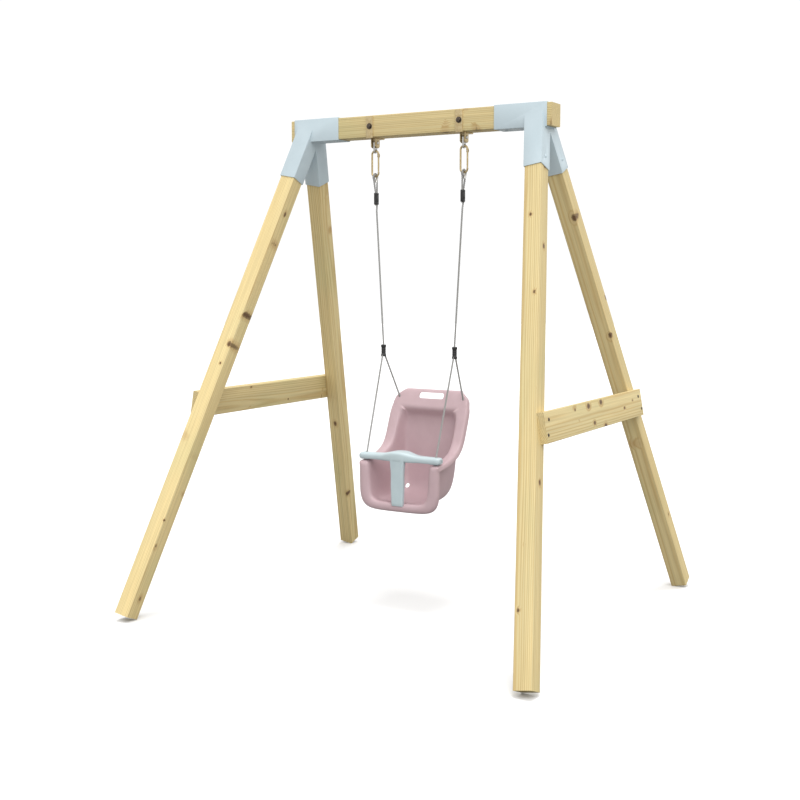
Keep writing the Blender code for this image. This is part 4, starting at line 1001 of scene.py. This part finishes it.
def make_screws():
    bracket_spots = []
    bracket_nodes = []
    rail_spots = []
    rail_nodes = []
    for side_name, side in SIDES:
        place, drop = rail_frame(side)
        for depth_name, depth in DEPTHS:
            spot = leg_frame(side, depth) @ Vector((BRACKET_FACE, 0.0, -BRACKET_LEG_LENGTH + 0.045))
            bracket_spots.append((spot, outward(side)))
            bracket_nodes.append(f"bracket_screw_{depth_name}_{side_name}")
            for row, lift in (("upper", 1), ("lower", -1)):
                height = lift * RAIL_SCREW_SPACING / 2
                along = (drop - height) * math.tan(LEG_SPREAD) + LEG_DEPTH_OFFSET - RAIL_SCREW_INSET
                spot = place @ Vector((RAIL_THICKNESS / 2, 0.0, height)) + Vector((0.0, depth * along, 0.0))
                rail_spots.append((spot, outward(side)))
                rail_nodes.append(f"rail_screw_{row}_{depth_name}_{side_name}")
        under = Vector((side * (BRACKET_INNER_END + 0.035), 0.0, BEAM_UNDER - 0.0035))
        bracket_spots.append((under, Vector((0.0, 0.0, -1.0))))
        bracket_nodes.append(f"bracket_screw_beam_{side_name}")
    screw = pan_screw()
    drive("bracket_screws", bracket_spots, screw, "painted_steel", bracket_nodes)
    drive("rail_screws", rail_spots, screw, "dark_steel", rail_nodes)
    bpy.data.objects.remove(screw, do_unlink=True)


# ---------------------------------------------------------------- hangers


def hexagon_mesh(radius, heights):
    """A six-sided block with eased edges. heights are (z, share of the radius)."""
    corners = [(math.cos(math.radians(60 * k)), math.sin(math.radians(60 * k))) for k in range(6)]
    rings = []
    for z, share in heights:
        rings.append([Vector((radius * share * x, radius * share * y, z)) for x, y in corners])
    return loft_mesh(rings)


def threaded(radius, start, end, pitch=0.0015):
    """Profile points of a thread as plain rings, from start down to end."""
    points = []
    z = start
    while z > end + pitch:
        points += [(radius, z), (radius * 0.88, z - pitch / 2)]
        z -= pitch
    return points


def make_hangers():
    for name, side in SIDES:
        x = side * HANGER_X
        face = STRAP_OUTER + STRAP_PLAY
        forward = axis_frame((x, -face, BEAM_AXIS), (1.0, 0.0, 0.0), (0.0, -1.0, 0.0))
        backward = axis_frame((x, face, BEAM_AXIS), (1.0, 0.0, 0.0), (0.0, 1.0, 0.0))
        node = f"hanger_strap_{name}"
        finish_node(node, "bent", refined(node, 0.0009), "stand", "yellow_zinc", 35)
        washer = [(0.0125, 0.0016), (0.0121, 0.0020), (0.0057, 0.0020)]
        washer += [(0.0053, 0.0016), (0.0053, 0.0), (0.0125, 0.0)]
        finish_node(f"hanger_washer_{name}", "pressed", turned_mesh(washer, forward), "stand", "dark_steel")
        finish_node(f"hanger_bolt_{name}", "forged", bolt_mesh(forward), "stand", "dark_steel", 25)
        nut = hexagon_mesh(BOLT_HEAD_RADIUS, ((0.0, 0.90), (0.0008, 1.0), (0.0070, 1.0), (0.0078, 0.90)))
        nut.transform(backward)
        bore = turned_mesh(plug(0.0053, -0.01, 0.02), backward, 24)
        nut = combined(helper("nut", nut), [bore])
        finish_node(f"hanger_nut_{name}", "forged", nut, "stand", "dark_steel", 25)
        make_pivot(name, x)


def bolt_mesh(place):
    """A hexagon-head bolt whose last part is threaded."""
    tail = -2 * STRAP_OUTER - 0.018
    top = 0.0026
    head_levels = ((top, 0.94), (top + 0.0006, 1.0), (top + 0.0056, 1.0), (top + 0.0065, 0.88))
    shank = [(0.0, top + 0.0001), (0.005, top + 0.0001), *threaded(0.005, tail + 0.034, tail + 0.0018)]
    shank += [(0.0042, tail + 0.0007), (0.0, tail + 0.0005)]
    bm = bmesh.new()
    bm.from_mesh(hexagon_mesh(BOLT_HEAD_RADIUS, head_levels))
    bm.from_mesh(turned_mesh(shank, Matrix.Identity(4), 20))
    mesh = bpy.data.meshes.new("bolt")
    bm.to_mesh(mesh)
    bm.free()
    mesh.transform(place)
    return mesh


def make_pivot(name, x):
    axis = axis_frame((x, 0.0, PIVOT_HEIGHT), (0.0, 1.0, 0.0), (1.0, 0.0, 0.0))
    radius = PIN_RADIUS
    end = CLEVIS_HALF + 0.0003
    head = [(0.0, end + 0.0022), (radius * 1.2, end + 0.0021), (radius * 1.55, end + 0.0016)]
    head += [(radius * 1.76, end + 0.0008), (radius * 1.8, end), (radius, end)]
    pin = turned_mesh(both_ways(head), axis)
    finish_node(f"pivot_pin_{name}", "headed", pin, "stand", "bright_steel")
    outer = radius + 0.0025
    inner = radius + 0.0002
    half = CLEVIS_HALF - 0.004 - 0.0003
    bush = [(outer - 0.0003, half), (outer, half - 0.0004), (outer, -half + 0.0004), (outer - 0.0003, -half)]
    bush += [(inner, -half), (inner, half)]
    finish_node(f"pivot_bush_{name}", "turned", turned_mesh(bush, axis), "swing", "nylon")
    node = f"hanger_link_{name}"
    finish_node(node, "eased", refined(node, 0.0007, 50.0), "swing", "bright_steel", 50)


# ---------------------------------------------------------------- carabiners


def make_carabiner(name, x):
    side_x = x + CARABINER_WIDTH / 2
    bend = CARABINER_WIDTH / 2
    wire = [(bend, GATE_PIVOT + CARABINER_WIRE + 0.0015)]
    wire += arc(bend, 0, 180, 24, (0.0, CARABINER_TOP - bend))
    wire += arc(bend, 180, 360, 24, (0.0, CARABINER_BOTTOM + bend))
    wire.append((bend, GATE_TIP - 0.0012))
    body = loft_mesh(tube_rings([(x + px, 0.0, pz) for px, pz in wire], CARABINER_WIRE))
    cheeks = []
    fork_top = GATE_PIVOT + CARABINER_WIRE
    levels = [(GATE_PIVOT - 0.0055, 0.86), (GATE_PIVOT - 0.0048, 1.0)]
    levels += [(fork_top + 0.0045, 1.0), (fork_top + 0.006, 0.80)]
    for z, share in levels:
        outline = rounded_rectangle(0.009 * share, 0.0116 * share, 0.0024)
        cheeks.append([Vector((side_x + px, py, z)) for px, py in outline])
    forked = combined(helper("wire", body), [loft_mesh(cheeks)], "UNION")
    low = (side_x - 0.018, -GATE_RADIUS - 0.0003, GATE_PIVOT - 0.02)
    high = (side_x + 0.018, GATE_RADIUS + 0.0003, fork_top + 0.001)
    mesh = combined(helper("forked", forked), [box_mesh(low, high)])
    finish_node(f"carabiner_{name}", "forged", mesh, "swing", "yellow_zinc", 35)

    rivet_half = CARABINER_WIRE + 0.0016 + 0.0003
    rivet = [(0.0, rivet_half + 0.0008), (0.0013, rivet_half + 0.0006), (0.0025, rivet_half)]
    rivet.append((0.0015, rivet_half))
    along_y = axis_frame((side_x, 0.0, GATE_PIVOT), (1.0, 0.0, 0.0), (0.0, -1.0, 0.0))
    mesh = turned_mesh(both_ways(rivet), along_y, 16)
    finish_node(f"carabiner_rivet_{name}", "headed", mesh, "swing", "bright_steel")

    line = [(side_x, 0.0, z) for z in (GATE_PIVOT + 0.0025, GATE_PIVOT - 0.030, GATE_TIP + 0.010)]
    nose = [(side_x, 0.0, z) for z in (GATE_TIP + 0.0098, GATE_TIP + 0.0002)]
    rings = [*tube_rings(line, GATE_RADIUS), *tube_rings(nose, GATE_RADIUS * 0.92)]
    gate = loft_mesh(rounded_ends(rings, GATE_RADIUS * 0.3))
    mesh = combined(helper("gate", gate), [turned_mesh(plug(0.0017, -0.02, 0.02), along_y, 16)])
    finish_node(f"carabiner_gate_{name}", "sprung", mesh, f"gate_{name}", "yellow_zinc", 35)


# ---------------------------------------------------------------- ropes


def mirrored(point, side):
    return Vector((point[0] * side, point[1], point[2]))


def upper_rope_points(side):
    """From the clamp up through the ferrule, over the thimble and back down into the ferrule."""
    strand = STRAND_SPACING / 2
    start = Vector((side * CLAMP_X, 0.0, CLAMP_TOP + 0.004))
    below = Vector((side * FERRULE_X, 0.0, FERRULE_BOTTOM))
    points = [
        Vector((side * CLAMP_X, 0.0, CLAMP_TOP - CLAMP_SOCKET)),
        start,
        start.lerp(below, 0.955),
        Vector((side * FERRULE_X, strand, FERRULE_BOTTOM)),
        Vector((side * FERRULE_X, strand, FERRULE_TOP)),
    ]
    middle = Vector((side * HANGER_X, 0.0, THIMBLE_MIDDLE))
    for y, z in arc(LOOP_RADIUS, -25, 205, 28):
        points.append(middle + Vector((0.0, y, z)))
    points.append(Vector((side * FERRULE_X, -strand, FERRULE_TOP)))
    points.append(Vector((side * FERRULE_X, -strand, FERRULE_BOTTOM - 0.004)))
    return points


def rope_mesh(name, points, radius=ROPE_RADIUS, lay=ROPE_LAY):
    """A laid rope along points, made by the rope tree from a curve."""
    data = bpy.data.curves.new(name, "CURVE")
    data.dimensions = "3D"
    spline = data.splines.new("POLY")
    spline.points.add(len(points) - 1)
    for target, point in zip(spline.points, points):
        target.co = (*point, 1.0)
    values = {"Radius": radius, "Strands": 3, "Lay": lay, "Step": 0.0022, "Material": FINISHES["rope"]}
    return run_tree(helper(name, data), ROPE_TREE, values)


def knot_path(end, direction, radius=0.0050):
    """A single overhand knot at a rope's end, pulled tight under the flange."""
    direction = Vector(direction).normalized()
    side = direction.orthogonal().normalized()
    other = direction.cross(side)
    points = []
    steps = 40
    for i in range(steps + 1):
        t = 2 * math.pi * i / steps
        # a trefoil, flattened along the rope
        u = (math.sin(t) + 2 * math.sin(2 * t)) / 3
        v = (math.cos(t) - 2 * math.cos(2 * t)) / 3
        w = -math.sin(3 * t) * 0.55
        points.append(end + (side * u + other * v) * radius + direction * w * radius)
    return points


def join_meshes(name, meshes):
    """One mesh from several, with their attributes kept."""
    objects = [helper(name + "_part", mesh) for mesh in meshes]
    first = objects[0]
    with bpy.context.temp_override(active_object=first, selected_editable_objects=objects, object=first):
        bpy.ops.object.join()
    mesh = first.data
    bpy.data.objects.remove(first, do_unlink=True)
    return mesh


def knotted_rope(node, points, direction):
    """A rope with a knot at its last point, in place of its node."""
    rope = rope_mesh(node, points)
    knot = rope_mesh(node + "_knot", knot_path(points[-1], direction), KNOT_ROPE_RADIUS, KNOT_LAY)
    finish_node(node, "laid", join_meshes(node, [rope, knot]), "swing", "rope", 60)


def make_ropes():
    for name, side in SIDES:
        node = f"upper_rope_{name}"
        finish_node(node, "laid", rope_mesh(node, upper_rope_points(side)), "swing", "rope", 60)
        top = mirrored(FRONT_LINE_TOP, side)
        foot = mirrored(FRONT_LINE_FOOT, side)
        low_end = foot - Vector((0.0, 0.0, 0.024))
        knotted_rope(f"front_rope_{name}", [top, foot, low_end], (0.0, 0.0, -1.0))
        start = mirrored(REAR_LINE_TOP, side)
        hole = mirrored(REAR_LINE_FOOT, side)
        direction = (hole - start).normalized()
        knotted_rope(f"rear_rope_{name}", [start, hole + direction * 0.020], direction)


def make_thimble(name, side):
    """A pressed steel eye: a grooved strip bent round into a teardrop."""
    path = arc(1.0, -20, 200, 40)
    hole = THIMBLE_HOLE
    tip = -2.0
    lower = [(path[-1][0] * (1 - k / 8), path[-1][1] + (tip - path[-1][1]) * k / 8) for k in range(1, 8)]
    left_side = [(-py, pz) for py, pz in reversed(lower)]
    route = [*path, *lower, (0.0, tip), *left_side]
    wall = 0.0013
    middle = Vector((side * HANGER_X, 0.0, THIMBLE_MIDDLE))
    rings = []
    for y, z in route:
        # u runs across the strip and v outwards from the hole: the strip is dished to take the rope
        inside = []
        for u in (-1.0, -0.75, -0.4, 0.0, 0.4, 0.75, 1.0):
            inside.append((u * THIMBLE_WIDTH / 2, hole + THIMBLE_WALL * 0.2 + 0.0040 * abs(u) ** 3))
        section = [*[(u, v + wall) for u, v in inside], *reversed(inside)]
        rings.append([middle + Vector((u, y * v, z * v)) for u, v in section])
    mesh = loft_mesh(rings, ring_closed=True)
    finish_node(f"thimble_{name}", "pressed", mesh, "swing", "bright_steel", 50)


def make_ferrule(name, side):
    """The moulded sleeve that holds the rope's end beside the rope, with a band near each end."""
    width = 2 * (ROPE_RADIUS + 0.0032)
    outline = rounded_rectangle(width + STRAND_SPACING, width, width / 2 - 0.0001, 8)
    half = FERRULE_LENGTH / 2
    middle = (side * FERRULE_X, 0.0, FERRULE_TOP - half)
    lower = [(0.90, -half), (0.96, -half + 0.0006), (1.0, -half + 0.0018), (1.0, -half + 0.0090)]
    lower += [(0.94, -half + 0.0096), (0.94, -half + 0.0108), (1.0, -half + 0.0114)]
    levels = both_ways(lower)
    mesh = loft_mesh([[Vector((px * share, py * share, z)) for px, py in outline] for share, z in levels])
    mesh.transform(axis_frame(middle, (0.0, 1.0, 0.0), (0.0, 0.0, 1.0)))
    bores = []
    for strand in (-1, 1):
        place = Matrix.Translation((middle[0], strand * STRAND_SPACING / 2, middle[2]))
        bores.append(turned_mesh(plug(ROPE_RADIUS + 0.0006, -0.05, 0.05), place, 24))
    mesh = combined(helper("ferrule", mesh), bores)
    finish_node(f"ferrule_{name}", "moulded", mesh, "swing", "black_plastic")


def make_clamp(name, side):
    """The moulded sleeve with a grooved waist where one rope meets two."""
    half = CLAMP_LENGTH / 2
    radius = CLAMP_RADIUS
    waist = radius * 0.86
    groove = 0.0095
    upper = [(0.0, half), (waist, half), (radius * 0.96, half - 0.0006), (radius, half - 0.0018)]
    upper += [(radius, half - 0.0080), (radius * 0.97, half - 0.0088), (waist, half - 0.0110)]
    upper += [(waist, groove + 0.0016), (waist * 0.94, groove + 0.0008)]
    upper += [(waist * 0.94, groove - 0.0008), (waist, groove - 0.0016)]
    upper += [(waist, 0.0016), (waist * 0.94, 0.0008)]
    place = Matrix.Translation((side * CLAMP_X, 0.0, CLAMP_TOP - half))
    mesh = turned_mesh(both_ways(upper), place)
    finish_node(f"rope_clamp_{name}", "moulded", mesh, "swing", "black_plastic")


# ---------------------------------------------------------------- bucket seat


def seat_point(x, y_share, z_share):
    return Vector((x, SEAT_FRONT + SEAT_DEPTH * y_share, SEAT_BASE + SEAT_HEIGHT * z_share))


SEAT_STATIONS = (
    # rim y, rim z, floor y, floor z, rim half width, floor half width, from the front rim to the recess's top
    (0.000, 0.415, 0.000, 0.080, 1.00, 0.86),
    (0.100, 0.418, 0.090, 0.062, 1.00, 0.86),
    (0.260, 0.432, 0.290, 0.054, 1.00, 0.85),
    (0.410, 0.458, 0.520, 0.056, 0.99, 0.83),
    (0.545, 0.490, 0.700, 0.072, 0.98, 0.81),
    (0.640, 0.545, 0.820, 0.115, 0.97, 0.79),
    (0.700, 0.620, 0.880, 0.200, 0.97, 0.79),
    (0.750, 0.705, 0.905, 0.330, 0.97, 0.80),
    (0.795, 0.775, 0.925, 0.490, 0.96, 0.80),
    (0.828, 0.825, 0.940, 0.630, 0.92, 0.78),
    (0.846, 0.855, 0.940, 0.725, 0.84, 0.74),
    (0.854, 0.868, 0.915, 0.782, 0.80, 0.72),
)


def seat_cage():
    """The right half of the shell's outer face as rows of points, from the middle out to the lip."""
    half = SEAT_WIDTH / 2
    inner = half - FLANGE_WIDTH
    lip = FLANGE_LIP
    outline = ((0.00, 0.000), (0.36, 0.000), (0.68, 0.004), (0.88, 0.030), (0.985, 0.100))
    outline += ((1.0, 0.200), (1.0, 0.300), (1.0, 0.365), (1.0, 0.395), (1.0, 0.412))
    front = [seat_point(half * x, 0.0, z) for x, z in outline]
    corner_height = front[-1].z - SEAT_BASE
    behind = []
    for point in front:
        drop = lip * ((point.z - SEAT_BASE) / corner_height) ** 3
        behind.append(point + Vector((0.0, lip, -drop)))
    rows = [behind, front]
    for index, (rim_y, rim_z, floor_y, floor_z, rim_w, floor_w) in enumerate(SEAT_STATIONS):
        sag = RECESS_SAG.get(index, 0.0)
        rim = seat_point(inner * rim_w, rim_y - FLANGE_LEAN * sag, rim_z - sag)
        floor = seat_point(inner * floor_w, floor_y, floor_z)
        row = [
            Vector((0.0, floor.y, floor.z)),
            Vector((floor.x * 0.50, floor.y, floor.z)),
            Vector((floor.x * 0.84, floor.y, floor.z)).lerp(rim, 0.012),
            Vector((floor.x * 1.02, floor.y, floor.z)).lerp(rim, 0.075),
            floor.lerp(rim, 0.28) + Vector((inner * 0.05, 0.0, 0.0)),
            floor.lerp(rim, 0.62) + Vector((inner * 0.03, 0.0, 0.0)),
            floor.lerp(rim, 0.93),
            rim + Vector((0.006, 0.0, 0.0)),
        ]
        outer = seat_point(half - RIM_TURNED_IN.get(index, 0.0), rim_y, rim_z)
        if index == 0:
            outer.y += 0.012
        row.append(rim.lerp(outer, 0.62))
        row.append(outer)
        rows.append(row)
    shares = (0, 0.2, 0.36, 0.5, 0.62, 0.72, 0.8, 0.88, 0.95, 1)
    for y_share, z_share, width, sag in FLANGE_ROWS:
        row = []
        for share in shares:
            drop = sag * (1 - share**4)
            row.append(seat_point(half * width * share, y_share - FLANGE_LEAN * drop, z_share - drop))
        rows.append(row)
    rows.append([point + Vector((0.0, lip, -0.002)) for point in rows[-1]])
    for index, row in enumerate(rows):
        if index < 2:
            row.append(behind[-1].copy())
            continue
        before = rows[max(index - 1, 1)][9]
        after = rows[min(index + 1, len(rows) - 2)][9]
        along = after - before
        along.x = 0.0
        back = Vector((0.0, along.z, -along.y)).normalized()
        if index == len(rows) - 1:
            row.append(row[-1] + Vector((0.001, 0.0, -0.012)))
        else:
            row.append(row[-1] + back * lip + Vector((0.002, 0.0, 0.0)))
    return rows


def seat_cutters():
    """Everything that is open in the shell: the handle, the drains, the rope holes and the bar's seat."""
    back = SEAT_FRONT + SEAT_DEPTH
    hole_radius = ROPE_RADIUS + 0.0012
    outline = rounded_rectangle(HANDLE_WIDTH, HANDLE_HEIGHT, HANDLE_HEIGHT * 0.42, 8)
    z = SEAT_TOP - HANDLE_MIDDLE
    ends = (back - 0.054, back + 0.054)
    made = [loft_mesh([[Vector((px, y, z + py)) for px, py in outline] for y in ends])]
    for _, side in SIDES:
        height = SEAT_BASE + DRAIN_HEIGHT
        near = Vector((side * DRAIN_X, back - SEAT_DEPTH * 0.37, height))
        made.append(rod_mesh(near, Vector((side * DRAIN_X, back + 0.01, height)), DRAIN_RADIUS))
        front = mirrored(FRONT_LINE_FOOT, side)
        made.append(rod_mesh(front + Vector((0, 0, 0.004)), front - Vector((0, 0, 0.030)), hole_radius))
        start = mirrored(REAR_LINE_TOP, side)
        hole = mirrored(REAR_LINE_FOOT, side)
        made.append(rod_mesh(start.lerp(hole, 0.7), hole + (hole - start).normalized() * 0.02, hole_radius))
    foot = STEM_FOOT_WIDTH / 2 + FOOT_GAP
    bottom = STEM_FOOT - 0.0008
    made.append(box_mesh((-foot, SEAT_FRONT - 0.03, bottom), (foot, SEAT_FRONT + 0.035, bottom + 0.05)))
    slot = LEDGE_SLOT_WIDTH / 2
    low = (-slot, SEAT_FRONT + 0.012, SEAT_BASE + 0.01)
    made.append(box_mesh(low, (slot, SEAT_FRONT + 0.024, SEAT_BASE + 0.06)))
    return made


def make_seat():
    rows = seat_cage()
    bm = bmesh.new()
    grid = [[bm.verts.new(point) for point in row] for row in rows]
    for near, far in zip(grid, grid[1:]):
        for i in range(len(near) - 1):
            bm.faces.new((near[i], near[i + 1], far[i + 1], far[i]))
    bmesh.ops.remove_doubles(bm, verts=bm.verts, dist=0.00001)
    seat = helper("seat_cage", mesh_of(bm))
    mirror = seat.modifiers.new("halves", "MIRROR")
    mirror.use_clip = True
    mirror.merge_threshold = 0.0001
    surface = seat.modifiers.new("surface", "SUBSURF")
    surface.levels = 3
    surface.render_levels = 3
    wall = seat.modifiers.new("wall", "SOLIDIFY")
    wall.thickness = SHELL_WALL
    wall.offset = 0.0
    wall.use_even_offset = True
    edge = seat.modifiers.new("edge", "BEVEL")
    edge.width = 0.0012
    edge.segments = 2
    edge.limit_method = "ANGLE"
    edge.angle_limit = math.radians(50.0)
    mesh = combined(seat, seat_cutters())
    finish_piece("seat_moulding", mesh, "swing", "pink_plastic", ("seat_shell",), 35)


# ---------------------------------------------------------------- safety bar


def bar_ring(x, depth, low, high, middle_y, steps=5, radius=0.012):
    radius = min(radius, (high - low) * 0.42, depth * 0.42)
    outline = rounded_rectangle(depth, high - low, radius, steps)
    return [Vector((x, middle_y + py, (low + high) / 2 + pz)) for py, pz in outline]


def swell_at(share):
    """How far the bar's middle is swollen, at a share of its half length."""
    points = ((0.10, 1.0), (0.24, 0.62), (0.40, 0.10), (0.60, 0.0))
    if share <= points[0][0]:
        return 1.0
    for (x0, s0), (x1, s1) in zip(points, points[1:]):
        if share <= x1:
            return s0 + (s1 - s0) * (share - x0) / (x1 - x0)
    return 0.0


def make_bar():
    half = BAR_LENGTH / 2
    middle = FRONT_ROPE_Y + 0.004
    front = middle - BAR_DEPTH / 2
    rings = []
    count = 72
    for i in range(count + 1):
        share = -math.cos(math.pi * i / count)
        beyond = max(0.0, (abs(share) - 0.93) / 0.07)
        size = 1.0 - 0.38 * beyond**2
        swell = sum(swell_at(abs(share) + step) for step in (-0.06, -0.03, 0.0, 0.03, 0.06)) / 5
        depth = (BAR_DEPTH + (BAR_MIDDLE_DEPTH - BAR_DEPTH) * swell) * size
        rise = (BAR_MIDDLE_HEIGHT - BAR_HEIGHT) * swell
        shrink = BAR_HEIGHT * (1 - size) / 2
        centre = middle if swell == 0 else front - BAR_MIDDLE_FORWARD * swell + depth / 2
        high = BAR_UNDER + BAR_HEIGHT + rise - shrink
        rings.append(bar_ring(share * half, depth, BAR_UNDER + shrink, high, centre))
    bar = helper("bar", loft_mesh(rings))
    stem_y = front - BAR_MIDDLE_FORWARD + STEM_INSET + STEM_THICKNESS / 2
    levels = (
        (BAR_UNDER + BAR_HEIGHT * 0.7, STEM_TOP_WIDTH + 0.004, 1.30),
        (BAR_UNDER + 0.002, STEM_TOP_WIDTH + 0.001, 1.22),
        (BAR_UNDER - 0.020, STEM_TOP_WIDTH - 0.003, 1.13),
        (BAR_UNDER - 0.050, STEM_TOP_WIDTH - 0.007, 1.06),
        (STEM_FOOT + 0.080, STEM_FOOT_WIDTH + 0.006, 1.0),
        (STEM_FOOT + 0.040, STEM_FOOT_WIDTH + 0.002, 1.0),
        (STEM_FOOT + 0.018, STEM_FOOT_WIDTH, 1.0),
        (STEM_FOOT + 0.010, STEM_FOOT_WIDTH * 0.99, 1.0),
        (STEM_FOOT + 0.004, STEM_FOOT_WIDTH * 0.96, 0.95),
        (STEM_FOOT, STEM_FOOT_WIDTH * 0.96, 0.80),
    )
    stem_rings = []
    for z, width, thick in levels:
        outline = rounded_rectangle(width, STEM_THICKNESS * thick, 0.0065, 5)
        stem_rings.append([Vector((px, stem_y + py, z)) for px, py in outline])
    bar = helper("bar_and_stem", combined(bar, [loft_mesh(stem_rings)], "UNION"))

    wall = BAR_WALL
    core_half = FRONT_ROPE_X - BAR_BOSS
    core = []
    for i in range(41):
        x = core_half * (-1 + 2 * i / 40)
        swell = swell_at(abs(x) / half + 0.02)
        depth = BAR_DEPTH + (BAR_MIDDLE_DEPTH - BAR_DEPTH) * swell - 2 * wall
        high = BAR_UNDER + BAR_HEIGHT + (BAR_MIDDLE_HEIGHT - BAR_HEIGHT) * swell - wall
        forward = front - BAR_MIDDLE_FORWARD * swell
        core.append(bar_ring(x, depth, BAR_UNDER - 0.0003, high, forward + wall + depth / 2, 3, 0.006))
    inner = STEM_FOOT_WIDTH * 0.9 - 2 * wall
    core_low = (-inner / 2, stem_y - STEM_THICKNESS / 2 + wall, STEM_FOOT + 0.012)
    core_high = (inner / 2, stem_y + STEM_THICKNESS / 2 - wall, BAR_UNDER + 0.01)
    cutters = [loft_mesh(core), box_mesh(core_low, core_high)]
    for _, side in SIDES:
        foot = mirrored(FRONT_LINE_FOOT, side)
        direction = (mirrored(FRONT_LINE_TOP, side) - foot).normalized()
        cutters.append(rod_mesh(foot - direction * 0.03, foot + direction * 0.08, ROPE_RADIUS + BAR_HOLE_GAP))
    mesh = combined(bar, cutters)
    finish_piece("safety_bar_moulding", mesh, "safety_bar", "pale_blue_plastic", ("t_bar",))


# ---------------------------------------------------------------- assembly

make_timber()
make_brackets()
make_screws()
make_hangers()
for side_name, side_sign in SIDES:
    make_carabiner(side_name, side_sign * HANGER_X)
    make_thimble(side_name, side_sign)
    make_ferrule(side_name, side_sign)
    make_clamp(side_name, side_sign)
make_ropes()
make_seat()
make_bar()
